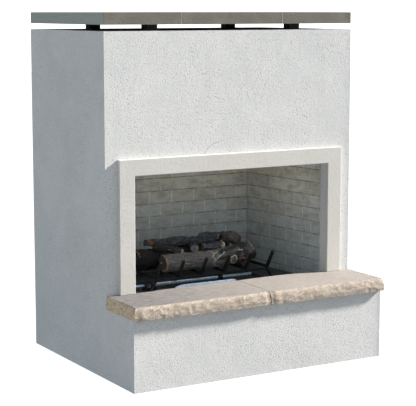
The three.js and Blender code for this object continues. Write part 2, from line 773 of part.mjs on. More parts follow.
const logs = [
  {
    name: 'front_log',
    material: charredBark,
    radius: frontLogRadius,
    base: logSeat,
    pathShares: [
      [-0.746, 0.268, 0.8, slimShare],
      [-0.096, 0.254, 0.786, 0.78],
      [0.302, 0.25, 0.855, 0.855],
      [0.633, 0.246, 1.09, 0.93],
      [0.863, 0.239, 1.21, 0.75],
    ],
    lumpPhase: 0.4,
    ragShare: 0.03,
    restsOn: [],
  },
  {
    name: 'rear_log',
    material: charredBark,
    radius: rearLogRadius,
    base: logSeat,
    pathShares: [
      [-0.987, 0.854, 1, 1],
      [-0.613, 0.832, 0.96, 0.96],
      [0.232, 0.83, 0.95, 0.97],
      [0.719, 0.84, 0.93, 0.93],
    ],
    lumpPhase: 1.9,
    ragShare: 0.03,
    restsOn: [],
  },
  {
    name: 'branch_log',
    material: blackBark,
    radius: branchRadius,
    base: layerTop,
    pathShares: [
      [-0.404, 0.268, 0.147, 0.86],
      [-0.534, 0.518, 0.5, 0.95],
      [-0.652, 0.786, 0.38, 0.9],
    ],
    lumpPhase: 2.6,
    ragShare: 0,
    restsOn: ['front_log', 'rear_log'],
  },
  {
    name: 'round_end_log',
    material: charredBark,
    radius: roundEndRadius,
    base: layerTop,
    pathShares: [
      [-0.156, 0.339, 0.3, 0.91],
      [-0.071, 0.518, 0.3, 0.95],
      [0.016, 0.696, 0.3, 0.93],
    ],
    lumpPhase: 0.9,
    ragShare: 0,
    restsOn: ['front_log', 'rear_log'],
  },
  {
    name: 'split_log',
    material: blackBark,
    radius: splitLogRadius,
    base: layerTop,
    pathShares: [
      [-0.036, 0.3, 0.76, 0.78],
      [0.144, 0.296, 0.76, 0.88],
      [0.355, 0.296, 0.725, 1.03],
    ],
    lumpPhase: 4.1,
    ragShare: 0.35,
    restsOn: ['front_log', 'round_end_log'],
  },
  {
    name: 'top_log',
    material: blackBark,
    radius: topLogRadius,
    base: logSeat + 2 * rearLogRadius,
    pathShares: [
      [-0.776, 0.889, 1.02, 0.47],
      [-0.51, 0.857, 0.76, 0.7],
      [-0.163, 0.829, 0.75, 0.9],
      [0.123, 0.796, 0.66, 0.83],
      [0.27, 0.779, 0.97, 1.13],
      [0.506, 0.75, 1.04, 0.8],
    ],
    lumpPhase: 3.3,
    ragShare: 0.12,
    restsOn: ['rear_log', 'branch_log', 'round_end_log'],
  },
  {
    name: 'thick_log',
    material: charredBark,
    radius: thickLogRadius,
    base: layerTop,
    pathShares: [
      [0.56, 0.63, 1.26, 0.75],
      [0.613, 0.482, 1.28, 1.03],
      [0.681, 0.35, 0.95, 0.76],
    ],
    lumpPhase: 5.2,
    ragShare: 0,
    restsOn: ['front_log', 'top_log', 'split_log'],
  },
];

const logSides = 14;
const logRingPitch = 34;
const lumpShares = [0.045, 0.03, 0.02];

// Bark swells and hollows, by the angle round the log and the share of its length
function lumpShare(log, angle, along) {
  return lumpShares[0] * Math.sin(2 * angle + log.lumpPhase + 5 * along)
    + lumpShares[1] * Math.sin(3 * angle - 9 * along + 2 * log.lumpPhase)
    + lumpShares[2] * Math.sin(5 * angle + 14 * along);
}

// A unit cylinder wrapped along the log's path; spare widens it all round, to cut its seat in a neighbour
function logGeometry(log, spare) {
  const points = log.pathShares.map(([across, back, up, thickness]) => ({
    place: new THREE.Vector3(
      grateMiddle + across * tineOuter,
      tineFront + back * tineRun,
      log.base + up * log.radius,
    ),
    radius: thickness * log.radius,
  }));
  const path = new THREE.CatmullRomCurve3(points.map(({ place }) => place));
  const rings = Math.max(3, Math.round(path.getLength() / logRingPitch));
  const geometry = new THREE.CylinderGeometry(1, 1, 1, logSides, rings);
  const position = geometry.attributes.position;
  const upright = new THREE.Vector3(0, 0, 1);
  for (let i = 0; i < position.count; i += 1) {
    const vertex = new THREE.Vector3().fromBufferAttribute(position, i);
    const along = Math.min(1, Math.max(0, vertex.y + 0.5));
    const angle = Math.atan2(vertex.z, vertex.x);
    const rimShare = Math.hypot(vertex.x, vertex.z);
    const tangent = path.getTangent(along);
    const across = new THREE.Vector3().crossVectors(tangent, upright).normalize();
    const over = new THREE.Vector3().crossVectors(across, tangent);
    const span = Math.min(points.length - 2, Math.floor(along * (points.length - 1)));
    const within = along * (points.length - 1) - span;
    const radius = THREE.MathUtils.lerp(points[span].radius, points[span + 1].radius, within);
    const reach = rimShare * (radius * (1 + lumpShare(log, angle, along)) + spare);
    const place = path.getPoint(along);
    place.addScaledVector(across, reach * Math.cos(angle));
    place.addScaledVector(over, reach * Math.sin(angle));
    const ringFromMiddle = Math.round(along * rings) - rings / 2;
    if (Math.abs(ringFromMiddle) === rings / 2) {
      const rag = rimShare * radius * log.ragShare * Math.sin(3 * angle + log.lumpPhase);
      place.addScaledVector(tangent, Math.sign(ringFromMiddle) * (rag + spare));
    }
    place.z = Math.max(place.z, logSeat - spare);
    position.setXYZ(i, place.x, place.y, place.z);
  }
  return geometry;
}

function addLogs() {
  const byName = new Map(logs.map((log) => [log.name, log]));
  for (const log of logs) {
    const seats = log.restsOn.map((name) => logGeometry(byName.get(name), logClearance));
    addPiece(log.name, cut(logGeometry(log, 0), seats), log.material);
  }
}

addPlinth();
addHearth();
addBodyWalls();
addSurround();
addCrown();
addCap();
addFirebox();
addLintel();
addFlue();
addGrate();
addBurner();
addValve();
addKnob();
addSupplyTube();
addLogs();

export default fireplace;
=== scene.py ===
# %% [markdown]
# # Outdoor fireplace
# A stuccoed block body stands on a raised stone hearth. Its firebox is lined with brick relief, and
# ceramic logs lie on a bent-bar grate over a gas burner. A stone cap sits on four pads above the crown.
#
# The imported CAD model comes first. It gives every place and size, so each piece below is built right
# where its CAD node already is, in metres, with +Z up and the front towards -Y.

# %% Load the frame
import math
import random

import bmesh
import bpy
from mathutils import Matrix, Vector, noise


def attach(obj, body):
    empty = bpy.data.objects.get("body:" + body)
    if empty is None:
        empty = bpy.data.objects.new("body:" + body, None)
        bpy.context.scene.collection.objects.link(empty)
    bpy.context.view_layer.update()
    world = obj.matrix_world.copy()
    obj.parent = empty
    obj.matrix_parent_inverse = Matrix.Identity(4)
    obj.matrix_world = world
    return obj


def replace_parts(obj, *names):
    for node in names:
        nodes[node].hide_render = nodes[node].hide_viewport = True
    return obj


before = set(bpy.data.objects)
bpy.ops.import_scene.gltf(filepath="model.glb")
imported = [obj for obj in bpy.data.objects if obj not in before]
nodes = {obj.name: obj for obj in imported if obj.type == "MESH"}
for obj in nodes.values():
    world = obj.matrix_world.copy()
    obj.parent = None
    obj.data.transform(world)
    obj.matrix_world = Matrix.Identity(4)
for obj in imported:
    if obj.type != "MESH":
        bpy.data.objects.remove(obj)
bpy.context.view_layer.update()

# %% [markdown]
# ## Camera
# The picture was taken from the left front, at eye level, with a long lens and a slight tilt down. A
# camera placed by eye would be a few pixels off at every edge, so its place, turn and lens were worked
# out from the corners of the body, the opening and the hearth.

# %% Camera
CAMERA_PLACE = (-3.3091, -5.6824, 1.6529)
CAMERA_DIP = 8.0364
CAMERA_TURN = 30.3096
CAMERA_LENS = 119.434

camera = bpy.data.objects.new("camera", bpy.data.cameras.new("camera"))
camera.data.lens = CAMERA_LENS
camera.data.sensor_width = 36
camera.data.clip_end = 60
camera.location = CAMERA_PLACE
camera.rotation_euler = (math.radians(90 - CAMERA_DIP), 0, -math.radians(CAMERA_TURN))
bpy.context.scene.collection.objects.link(camera)
bpy.context.scene.camera = camera
print("camera at", CAMERA_PLACE, "with a lens of", CAMERA_LENS, "mm")

# %% [markdown]
# ## Floor and light
# A wide pale floor carries the part, in front of a white backdrop. The key light is a sun on the right,
# 32 degrees up and almost in line with the front, so it grazes the stucco, and the surround throws a
# narrow shadow to its left. The backdrop and the floor look white to the camera, but they light the
# part as a pale blue sky and a stone terrace would: a Light Path node tells the camera's rays apart.
# Short helpers come first. They keep a bmesh as an object, and add a node that is wired already.

# %% Stage
FLOOR_BOUNCE = (0.12, 0.115, 0.105, 1)
FLOOR_FILL = 0.27
FLOOR_TINT = (0.95, 1.0, 1.03, 1)
FLOOR_WHITE = 1.06
SKY_FILL = (0.338, 0.402, 0.458, 1)
BACKDROP_WHITE = 1.6


def add_to_scene(thing):
    bpy.context.scene.collection.objects.link(thing)
    return thing


def object_from(name, bm, *materials):
    """Keeps a finished bmesh as an object of the scene."""
    mesh = bpy.data.meshes.new(name)
    bm.to_mesh(mesh)
    bm.free()
    for material in materials:
        mesh.materials.append(material)
    return add_to_scene(bpy.data.objects.new(name, mesh))


def feed(node, inputs):
    """Feeds inputs, by place or by name, with a value or with the output of an earlier node."""
    for key, value in inputs.items():
        if isinstance(value, bpy.types.NodeSocket):
            node.id_data.links.new(value, node.inputs[key])
        else:
            node.inputs[key].default_value = value
    return node


def add_node(tree, kind, *values, **named):
    named = {name.replace("_", " "): value for name, value in named.items()}
    return feed(tree.nodes.new(kind), {**dict(enumerate(values)), **named})


def bare_material(name):
    """A material whose tree holds only the output node."""
    material = bpy.data.materials.new(name)
    material.use_nodes = True
    material.node_tree.nodes.remove(material.node_tree.nodes["Principled BSDF"])
    return material, material.node_tree


def pale_floor():
    material, tree = bare_material("floor_finish")
    seen = add_node(tree, "ShaderNodeLightPath").outputs["Is Camera Ray"]
    strength = add_node(tree, "ShaderNodeMapRange", Value=seen, To_Min=FLOOR_FILL, To_Max=FLOOR_WHITE)
    glow = add_node(tree, "ShaderNodeEmission", Color=FLOOR_TINT, Strength=strength.outputs[0])
    bounce = add_node(tree, "ShaderNodeBsdfDiffuse", Color=FLOOR_BOUNCE)
    both = add_node(tree, "ShaderNodeAddShader", bounce.outputs[0], glow.outputs[0])
    feed(tree.nodes["Material Output"], {"Surface": both.outputs[0]})
    bm = bmesh.new()
    bmesh.ops.create_circle(bm, cap_ends=True, segments=64, radius=30)
    return object_from("floor", bm, material)


floor = pale_floor()

world = bpy.data.worlds.new("studio")
bpy.context.scene.world = world
world.use_nodes = True
studio = world.node_tree
sky = feed(studio.nodes["Background"], {"Color": SKY_FILL})
backdrop = add_node(studio, "ShaderNodeBackground", Color=(1, 1, 1, 1), Strength=BACKDROP_WHITE)
seen = add_node(studio, "ShaderNodeLightPath").outputs["Is Camera Ray"]
choice = add_node(studio, "ShaderNodeMixShader", seen, sky.outputs[0], backdrop.outputs[0])
feed(studio.nodes["World Output"], {"Surface": choice.outputs[0]})
print("stage:", floor.name, "and", world.name)

# %% Key light
KEY_TRAVEL = Vector((-1, 0.25, -0.65))
KEY_POWER = 7.45
KEY_TINT = (1, 0.951, 0.884)
KEY_SPREAD = 6

key = add_to_scene(bpy.data.objects.new("key_light", bpy.data.lights.new("key_light", "SUN")))
key.data.energy = KEY_POWER
key.data.angle = math.radians(KEY_SPREAD)
key.data.color = KEY_TINT
key.rotation_euler = KEY_TRAVEL.to_track_quat("-Z", "Y").to_euler()
bpy.context.scene.view_settings.view_transform = "Standard"
print(key.name, "power:", KEY_POWER)

# %% [markdown]
# ## Gauze and soft boxes
# The low sun grazes the front and would burn out the right side, which it meets almost square. So a
# sheet of gauze hangs beside the object, where no camera sees it. It is cut to the outline that the
# right side has as the sun sees it, and lets a quarter of the sun through.

# %% Gauze
GAUZE_PASSES = (0.23, 0.23, 0.23, 1)
GAUZE_X = 0.80
GAUZE_OUTLINE = [
    (-0.287, 0.07), (0.515, 0.07), (0.515, 1.728), (-0.287, 1.728),
    (-0.287, 0.475), (-0.556, 0.475), (-0.556, 0.07),
]


def gauze_sheet():
    material, tree = bare_material("gauze_weave")
    weave = add_node(tree, "ShaderNodeBsdfTransparent", Color=GAUZE_PASSES)
    feed(tree.nodes["Material Output"], {"Surface": weave.outputs[0]})
    bm = bmesh.new()
    bm.faces.new([bm.verts.new((GAUZE_X, y, z)) for y, z in GAUZE_OUTLINE])
    sheet = object_from("gauze", bm, material)
    sheet.visible_camera = sheet.visible_diffuse = sheet.visible_glossy = False
    print(sheet.name, "corners:", len(sheet.data.vertices))
    return sheet


gauze_sheet()

# %% [markdown]
# The firebox sees little of the sky, so it would go black. Two soft boxes help: a wide one far to the
# left, and a narrow one under the lintel, which faces in and down. No camera sees them. A brighter sky
# would fill the firebox too, but it would also wash out the shadows on the stucco.

# %% Soft boxes
def soft_box(name, place, facing, wide, tall, power, colour):
    box = add_to_scene(bpy.data.objects.new(name, bpy.data.lights.new(name, "AREA")))
    box.data.shape = "RECTANGLE"
    box.data.size = wide
    box.data.size_y = tall
    box.data.energy = power
    box.data.color = colour
    box.visible_camera = False
    box.location = place
    box.rotation_euler = Vector(facing).to_track_quat("-Z", "Z").to_euler()
    print(name, "power:", power)


soft_box("left_fill", (-4.5, -1.6, 1.0), (4.5, 1.6, -0.3), 3.0, 2.0, 7.5, (1, 0.99, 0.97))
soft_box("room_fill", (0, -0.2, 0.86), (0, 1, -0.36), 0.72, 0.14, 0.66, (1, 0.985, 0.95))

# %% [markdown]
# ## Finishes
# Pictures wrapped round the pieces would stretch and repeat, so each finish is a small node tree. Its
# patterns read Object coordinates, so they keep their real size and stay still on the piece from every
# side. Each helper of a finish adds one wired node.

# %% Helpers for finishes
SHARP_TURN = math.radians(35)


class Finish:
    """A material with its shader, and short calls that add one wired node each."""

    def __init__(self, name, roughness, metallic=0.0):
        self.material = bpy.data.materials.new(name)
        self.material.use_nodes = True
        self.tree = self.material.node_tree
        self.shader = self.tree.nodes["Principled BSDF"]
        feed(self.shader, {"Roughness": roughness, "Metallic": metallic})
        self.place = self.node("ShaderNodeTexCoord").outputs["Object"]

    def node(self, kind, *values, **named):
        return add_node(self.tree, kind, *values, **named)

    def maths(self, operation, *values, kind="ShaderNodeMath"):
        made = self.node(kind)
        made.operation = operation
        return feed(made, dict(enumerate(values))).outputs[0]

    def axis(self, letter, place=None):
        return self.node("ShaderNodeSeparateXYZ", Vector=place or self.place).outputs[letter]

    def attribute(self, name):
        """The outputs that read what the corners of a piece keep under a name."""
        made = self.node("ShaderNodeAttribute")
        made.attribute_name = name
        return made.outputs

    def spread(self, value, low, high):
        """0 where a value is low, 1 where it is high, and even in between."""
        return self.node("ShaderNodeMapRange", Value=value, From_Min=low, From_Max=high).outputs[0]

    def squeezed(self, *scale, place=None):
        """Places whose patterns come out narrower by scale along X, Y and Z."""
        return self.node("ShaderNodeMapping", Vector=place or self.place, Scale=scale).outputs[0]

    def stretched(self, *scale, **more):
        """Places whose patterns come out wider by scale, turned or moved if more says so."""
        made = self.node("ShaderNodeMapping", Vector=self.place, Scale=scale, **more)
        made.vector_type = "TEXTURE"
        return made.outputs[0]

    def noise(self, size, detail=4.0, roughness=0.55, place=None, distortion=0.0):
        """Cloudy values between 0 and 1, with lumps about as wide as size in metres."""
        made = self.node(
            "ShaderNodeTexNoise", Vector=place or self.place, Scale=1 / size,
            Detail=detail, Roughness=roughness, Distortion=distortion,
        )
        return made.outputs["Fac"]

    def steps(self, value, *stops):
        """Colours or greys along a value: each stop is a position and a grey or a colour."""
        ramp = self.node("ShaderNodeValToRGB", Fac=value)
        points = ramp.color_ramp.elements
        while len(points) < len(stops):
            points.new(1)
        for point, (position, shade) in zip(points, stops):
            point.position = position
            point.color = (*shade, 1) if isinstance(shade, tuple) else (shade, shade, shade, 1)
        return ramp.outputs["Color"]

    def blend(self, share, first, second, how="MIX"):
        mix = self.node("ShaderNodeMix")
        mix.data_type = "RGBA"
        mix.blend_type = how
        first, second = ((*value, 1) if isinstance(value, tuple) else value for value in (first, second))
        return feed(mix, {0: share, 6: first, 7: second}).outputs[2]

    def finish(self, colour, *bumps, **more):
        """Wires the colour and the bumps, broad ones first: each a pattern, its depth, maybe a strength."""
        normal = {}
        for height, depth, *strength in bumps:
            shape = {"Height": height, "Distance": depth, "Strength": (*strength, 1.0)[0]}
            normal = {"Normal": self.node("ShaderNodeBump", **shape, **normal).outputs["Normal"]}
        feed(self.shader, {"Base Color": colour, **normal, **more})
        print(self.material.name, "nodes:", len(self.tree.nodes))
        return self.material


def dress(finish, width, *names):
    """Gives CAD nodes a finish, and rounds their edges by width once Weld has joined their triangles."""
    for name in names:
        nodes[name].data.materials.clear()
        nodes[name].data.materials.append(finish)
        if width:
            weld = nodes[name].modifiers.new("weld", "WELD")
            weld.merge_threshold = 0.00005
            bevel = nodes[name].modifiers.new("arris", "BEVEL")
            bevel.width = width
            bevel.segments = 2
            bevel.limit_method = "ANGLE"
            bevel.angle_limit = SHARP_TURN
            bevel.harden_normals = True
    print(finish.name, "on", len(names), "CAD pieces")

# %% [markdown]
# ## Pieces
# Most pieces start from a cube, a grid or a few corners of a profile. They could be modelled by hand,
# but numbers are easy to correct. These helpers add one block, one pushed outline or one flat grid, and
# turn a finished bmesh into a named piece that rides on the fireplace.

# %% Helpers for pieces
def rounded(bm, corners, arris, segments):
    """Rounds each edge that meets one of the corners."""
    edges = list({edge for corner in corners for edge in corner.link_edges})
    bmesh.ops.bevel(
        bm, geom=edges, offset=arris, offset_type="OFFSET", segments=segments, profile=0.5,
        affect="EDGES", material=-1,
    )


def block(bm, low, high, arris=0.0):
    """A box between two corners, with its edges rounded by arris."""
    low, high = Vector(low), Vector(high)
    place = Matrix.Translation((low + high) / 2) @ Matrix.Diagonal((*(high - low), 1))
    corners = bmesh.ops.create_cube(bm, size=1, matrix=place)["verts"]
    if arris:
        rounded(bm, corners, arris, 2)


def extruded_profile(bm, corners, travel, arris=0.0):
    """A flat outline, pushed along travel. The edges away from the start plane are rounded by arris."""
    face = bm.faces.new([bm.verts.new(corner) for corner in corners])
    pushed = bmesh.ops.extrude_face_region(bm, geom=[face])["geom"]
    moved = [corner for corner in pushed if isinstance(corner, bmesh.types.BMVert)]
    bmesh.ops.translate(bm, vec=travel, verts=moved)
    if arris:
        rounded(bm, moved, arris, 3)


def wrapped_grid(bm, around, rows, width=1.0, length=1.0):
    """A flat grid from 0 to 1 both ways, which the caller wraps, with a UV map in metres."""
    made = bmesh.ops.create_grid(bm, x_segments=around, y_segments=rows, size=0.5)["verts"]
    follow = bm.loops.layers.uv.verify()
    for vert in made:
        turn, rise = vert.co.x + 0.5, vert.co.y + 0.5
        for loop in vert.link_loops:
            loop[follow].uv = (turn * width, rise * length)
        vert.co = (turn, rise, 0)


def close_seam(bm):
    """Joins the first and the last row of corners of a wrapped grid, and fills its open ends."""
    bmesh.ops.remove_doubles(bm, verts=bm.verts, dist=1e-5)
    bmesh.ops.holes_fill(bm, edges=[edge for edge in bm.edges if edge.is_boundary], sides=0)


def flat_faces(piece):
    """Keeps wide flat faces flat beside rounded edges: their size weighs in the shading."""
    weighted = piece.modifiers.new("flat_faces", "WEIGHTED_NORMAL")
    weighted.mode = "FACE_AREA"
    weighted.weight = 100
    weighted.keep_sharp = True


MANY_CORNERS = 12


def piece_from(name, bm, *finishes, sharp=40, slot=None):
    """Closes the seams, turns the faces outwards, and makes a piece that rides on the fireplace."""
    bmesh.ops.remove_doubles(bm, verts=bm.verts, dist=1e-5)
    bmesh.ops.dissolve_degenerate(bm, edges=bm.edges, dist=1e-6)
    bmesh.ops.recalc_face_normals(bm, faces=bm.faces)
    piece = object_from(name, bm, *finishes)
    mesh = piece.data
    mesh.shade_smooth()
    mesh.set_sharp_from_angle(angle=math.radians(sharp))
    for face in mesh.polygons:
        face.use_smooth = len(face.vertices) < MANY_CORNERS
    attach(piece, "fireplace")
    print(name, "faces:", len(mesh.polygons))
    return piece

# %% [markdown]
# ## Stucco
# The body wears a floated cement coat: off-white, with a tooth of short grooves, 3 to 6 mm long, that
# lean with the strokes of the float, and broad, soft hollows. The grooves are also painted darker, a
# painted shade in them. No silhouette shows them, so they are bump and colour. A hairline crack climbs
# from the head of the surround: the places whose distance from a wandering line is under a millimetre.

# %% Stucco finish
CRACKS = [
    ((-0.162, -0.254, 0.992), (-0.110, -0.254, 1.040)),
    ((-0.110, -0.254, 1.040), (-0.056, -0.254, 1.048)),
    ((0.381, -0.254, 1.152), (0.416, -0.254, 1.137)),
]


def crack_line(coat, start, end, wander=0.022):
    """A wandering line from start to end on the front: 1 on the line and 0 beside it."""
    run = Vector(end) - Vector(start)
    turn = (0, -math.atan2(run.z, run.x), 0)
    place = coat.stretched(1, 1, 1, Location=start, Rotation=turn)
    across = coat.maths("MULTIPLY_ADD", coat.noise(0.03), wander, coat.axis("Z", place))
    line = coat.maths("COMPARE", across, wander / 2, 0.0010)
    middle = run.length / 2
    line = coat.maths("MULTIPLY", line, coat.maths("COMPARE", coat.axis("X", place), middle, middle))
    return coat.maths("MULTIPLY", line, coat.maths("COMPARE", coat.axis("Y", place), 0.0, 0.01))


def stucco_finish():
    coat = Finish("stucco_coat", 0.95)
    leaning = coat.stretched(1.7, 1, 1, Rotation=(0, math.radians(35), 0))
    tooth = coat.noise(0.0052, detail=3.5, roughness=0.6, distortion=0.8, place=leaning)
    tooth = coat.steps(tooth, (0.36, 0.0), (0.50, 1.0))
    hollows = coat.noise(0.14, detail=2.0)
    patches = coat.noise(0.34, detail=5.0, roughness=0.62, distortion=0.6)
    coarse = coat.steps(coat.noise(0.19, detail=3.0), (0.36, 0.62), (0.64, 1.0))
    colour = coat.steps(patches, (0.34, (0.745, 0.747, 0.745)), (0.66, (0.82, 0.818, 0.813)))
    # The grooves of the tooth are painted darker: painted shade in them.
    colour = coat.blend(coarse, colour, coat.blend(tooth, (0.575, 0.58, 0.59), colour))
    pinholes = coat.steps(coat.noise(0.009, roughness=0.75), (0.25, 0.0), (0.34, 1.0))
    colour = coat.blend(pinholes, (0.56, 0.56, 0.555), colour)
    for start, end in CRACKS:
        colour = coat.blend(crack_line(coat, start, end), colour, (0.36, 0.36, 0.36))
    return coat.finish(colour, (hollows, 0.003), (tooth, 0.0008, coarse), (pinholes, 0.0008))


stucco = stucco_finish()

# %% [markdown]
# ## Body and plinth
# The blocks of the body and of the plinth are hidden under one coat of stucco, which runs round their
# corners without a joint. So they are one piece: an L-shaped side, pushed through the width, from which
# cutters take the room, the opening, the flue, the plate's bed and the hollow of the plinth. A Bevel
# then rounds every corner by 5 mm, as a float does.

# %% Body and plinth
def cutter(low, high):
    bm = bmesh.new()
    block(bm, low, high)
    return object_from("cutter", bm)


def carved(piece, cutters, arris):
    """Takes the cutters out of a piece, rounds its corners, and keeps the result as its mesh."""
    for tool in cutters:
        cut = piece.modifiers.new("cut", "BOOLEAN")
        cut.operation = "DIFFERENCE"
        cut.solver = "EXACT"
        cut.object = tool
    bevel = piece.modifiers.new("arris", "BEVEL")
    bevel.width = arris
    bevel.segments = 3
    bevel.limit_method = "ANGLE"
    bevel.angle_limit = SHARP_TURN
    bpy.context.view_layer.update()
    shape = bpy.data.meshes.new_from_object(piece.evaluated_get(bpy.context.evaluated_depsgraph_get()))
    piece.modifiers.clear()
    piece.data = shape
    for tool in cutters:
        bpy.data.objects.remove(tool)
    shape.shade_smooth()
    flat_faces(piece)
    print(piece.name, "faces once carved:", len(shape.polygons))


bm = bmesh.new()
side = [(-0.52, 0), (-0.52, 0.324), (-0.254, 0.324), (-0.254, 1.553), (0.546, 1.553), (0.546, 0)]
extruded_profile(bm, [(-0.66, y, z) for y, z in side], (1.32, 0, 0))
stuccoed_body = piece_from("stuccoed_body", bm, stucco, slot="stucco")
carved(stuccoed_body, [
    cutter((-0.57, -0.212, 0.324), (0.57, 0.456, 1.493)),
    cutter((-0.522, -0.3, 0.3245), (0.522, -0.2, 0.914)),
    cutter((-0.17, -0.033, 1.4), (0.17, 0.307, 1.6)),
    cutter((-0.549, -0.136, 1.548), (0.549, 0.41, 1.6)),
    cutter((-0.57, -0.43, -0.1), (0.57, 0.456, 0.264)),
    cutter((-0.563, -0.042, 0.2), (-0.547, -0.026, 0.4)),
], 0.005)
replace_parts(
    stuccoed_body, "plinth_front_wall", "plinth_left_wall", "plinth_right_wall", "plinth_rear_wall",
    "base_slab", "body_front_wall", "body_left_wall", "body_right_wall", "body_rear_wall", "crown_slab",
)

# %% [markdown]
# ## Surround
# A cast-stone band frames the opening: one flat U, 78 mm wide and 20 mm proud of the stucco. Three
# straight bars would show joints at the corners, so the whole outline is pushed forward from the wall.
# Only the edges away from the wall are rounded, since the others are bedded in the stucco.

# %% Surround
def cast_stone_finish():
    stone = Finish("cast_stone", 0.88)
    clouds = stone.noise(0.12, detail=5.0, roughness=0.62)
    sand = stone.noise(0.0016, detail=2.0, roughness=0.7)
    pits = stone.steps(stone.noise(0.004, detail=2.0), (0.24, 0.0), (0.33, 1.0))
    colour = stone.steps(clouds, (0.3, (0.68, 0.655, 0.615)), (0.7, (0.735, 0.71, 0.672)))
    colour = stone.blend(pits, (0.46, 0.43, 0.39), colour)
    colour = stone.blend(stone.steps(sand, (0.3, 0.0), (0.7, 0.35)), colour, (0.80, 0.78, 0.74))
    trowel = stone.noise(0.016, detail=5.0, roughness=0.65, distortion=0.5)
    return stone.finish(colour, (trowel, 0.0015), (pits, 0.0008), (sand, 0.0005))


cast_stone = cast_stone_finish()
bm = bmesh.new()
band = [
    (-0.6, 0.382), (-0.6, 0.99), (0.6, 0.99), (0.6, 0.382),
    (0.522, 0.382), (0.522, 0.914), (-0.522, 0.914), (-0.522, 0.382),
]
extruded_profile(bm, [(x, -0.254, z) for x, z in band], (0, -0.02, 0), arris=0.003)
surround = piece_from("cast_surround", bm, cast_stone, slot="cast_stone")
flat_faces(surround)
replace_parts(surround, "surround_head", "surround_left", "surround_right")

# %% [markdown]
# ## Hearth stones
# Two sandstone slabs cover the plinth and run on into the opening. Their tops are sawn, and their edges
# are pitched: a chisel broke off shells of stone, which leaves shallow dishes that meet in crisp ridges,
# and a struck upper arris. Each slab is one wrapped grid, which follows the slab's outline seen from
# above and rises from the bed to the top. Noise would give soft lumps, so at each place the deepest of
# the dishes there says how far the face is set back, and a ridge stays where two meet. A vertex
# attribute keeps how pitched the stone is, for the finish: grey streaks on the sawn top, which is
# darker and greyer towards the left, and warm stone on the pitched edge, where each flake border has a
# dark painted shadow line beside a pale painted highlight line. The left end is painted orange and
# bright: partly rusty stone, partly painted warm light on an end that lies in shade.

# %% Sandstone finish
FLAKES_PER_METRE = 34.0
FLAKE_WANDER = 0.012
# Along X, the left end's rust colour and painted warm light come in between these places.
RUST_AND_LIGHT_FROM, RUST_AND_LIGHT_TO = -0.652, -0.662


def flake_rims(stone, place):
    """Near 1 on the borders between the flakes and 0 inside them."""
    rims = stone.node("ShaderNodeTexVoronoi", Vector=place, Scale=FLAKES_PER_METRE)
    rims.feature = "DISTANCE_TO_EDGE"
    return stone.steps(rims.outputs["Distance"], (0.02, 0.85), (0.085, 0.0))


def sandstone_finish():
    stone = Finish("sandstone", 0.82)
    pitched = stone.attribute("pitched")["Fac"]
    clouds = stone.noise(0.075, detail=7.0, roughness=0.74, distortion=0.4)
    fine = stone.noise(0.007, roughness=0.7)
    grains = stone.noise(0.0014, detail=1.5)
    along = stone.axis("X")
    sawn_grey_left, sawn_tone_right, broken = (
        stone.steps(clouds, *zip((0.25, 0.55, 0.8), shades)) for shades in (
            ((0.128, 0.122, 0.126), (0.150, 0.144, 0.148), (0.176, 0.169, 0.173)),
            ((0.345, 0.305, 0.270), (0.395, 0.352, 0.318), (0.44, 0.40, 0.365)),
            ((0.41, 0.332, 0.262), (0.455, 0.372, 0.30), (0.49, 0.41, 0.34)),
        )
    )
    # The sawn top is darker and greyer towards the left.
    sawn = stone.blend(stone.spread(along, -0.55, 0.25), sawn_grey_left, sawn_tone_right)
    # The left end is painted orange and bright: partly rusty stone, partly painted warm light on an end in
    # shade.
    broken = stone.blend(stone.spread(along, RUST_AND_LIGHT_FROM, RUST_AND_LIGHT_TO), broken, (0.92, 0.68, 0.44))
    colour = stone.blend(pitched, sawn, broken)
    wander = stone.node("ShaderNodeTexNoise", Vector=stone.place, Scale=38.0, Detail=2.0).outputs["Color"]
    wander = stone.maths("MULTIPLY_ADD", wander, (FLAKE_WANDER,) * 3, stone.place, kind="ShaderNodeVectorMath")
    squeezed = stone.squeezed(0.75, 0.85, 1.75, place=wander)
    flakes = stone.node("ShaderNodeTexVoronoi", Vector=squeezed, Scale=FLAKES_PER_METRE)
    dished = stone.maths("MULTIPLY", flakes.outputs["Distance"], pitched)
    tone = stone.node("ShaderNodeSeparateColor", Color=flakes.outputs["Color"]).outputs[0]
    tone = stone.steps(tone, (0.0, (0.88, 0.86, 0.84)), (1.0, (1.10, 1.09, 1.08)))
    colour = stone.blend(pitched, colour, stone.blend(1.0, colour, tone, how="MULTIPLY"))
    fading = stone.steps(stone.noise(0.024, detail=2.0), (0.34, 0.0), (0.48, 1.0))
    fading = stone.maths("MULTIPLY", fading, pitched)
    painted_highlight_place = stone.node("ShaderNodeMapping", Vector=squeezed, Location=(-0.0012, 0.0, 0.0036)).outputs[0]
    # Each flake border gets a dark painted shadow line, and a pale painted highlight line offset from it.
    for place, shade in ((painted_highlight_place, (0.76, 0.67, 0.57)), (squeezed, (0.25, 0.195, 0.15))):
        colour = stone.blend(stone.maths("MULTIPLY", fading, flake_rims(stone, place)), colour, shade)
    stains = stone.steps(fine, (0.36, 0.26), (0.50, 0.0))
    colour = stone.blend(stains, colour, (0.20, 0.165, 0.14))
    glints = stone.noise(0.010, detail=3.0, roughness=0.65, place=stone.stretched(4, 1, 1))
    glints = stone.steps(glints, (0.40, 0.03), (0.66, 0.36))
    colour = stone.blend(glints, colour, (0.56, 0.51, 0.47))
    return stone.finish(colour, (dished, 0.0021), (fine, 0.0016), (grains, 0.0005))


sandstone = sandstone_finish()

# %% Hearth stones
SLAB_BED, SLAB_TOP = 0.324, 0.382
SLAB_ROWS = 19
CHIP_STEP = 0.0035
FRONT_BELLY, END_BELLY = 0.015, 0.006
STRUCK_TALL = 0.010
# Near an outer front corner the lip of the top stays within these places.
CORNER_FROM, CORNER_KEPT = (0.64, -0.51), (0.65, -0.524)


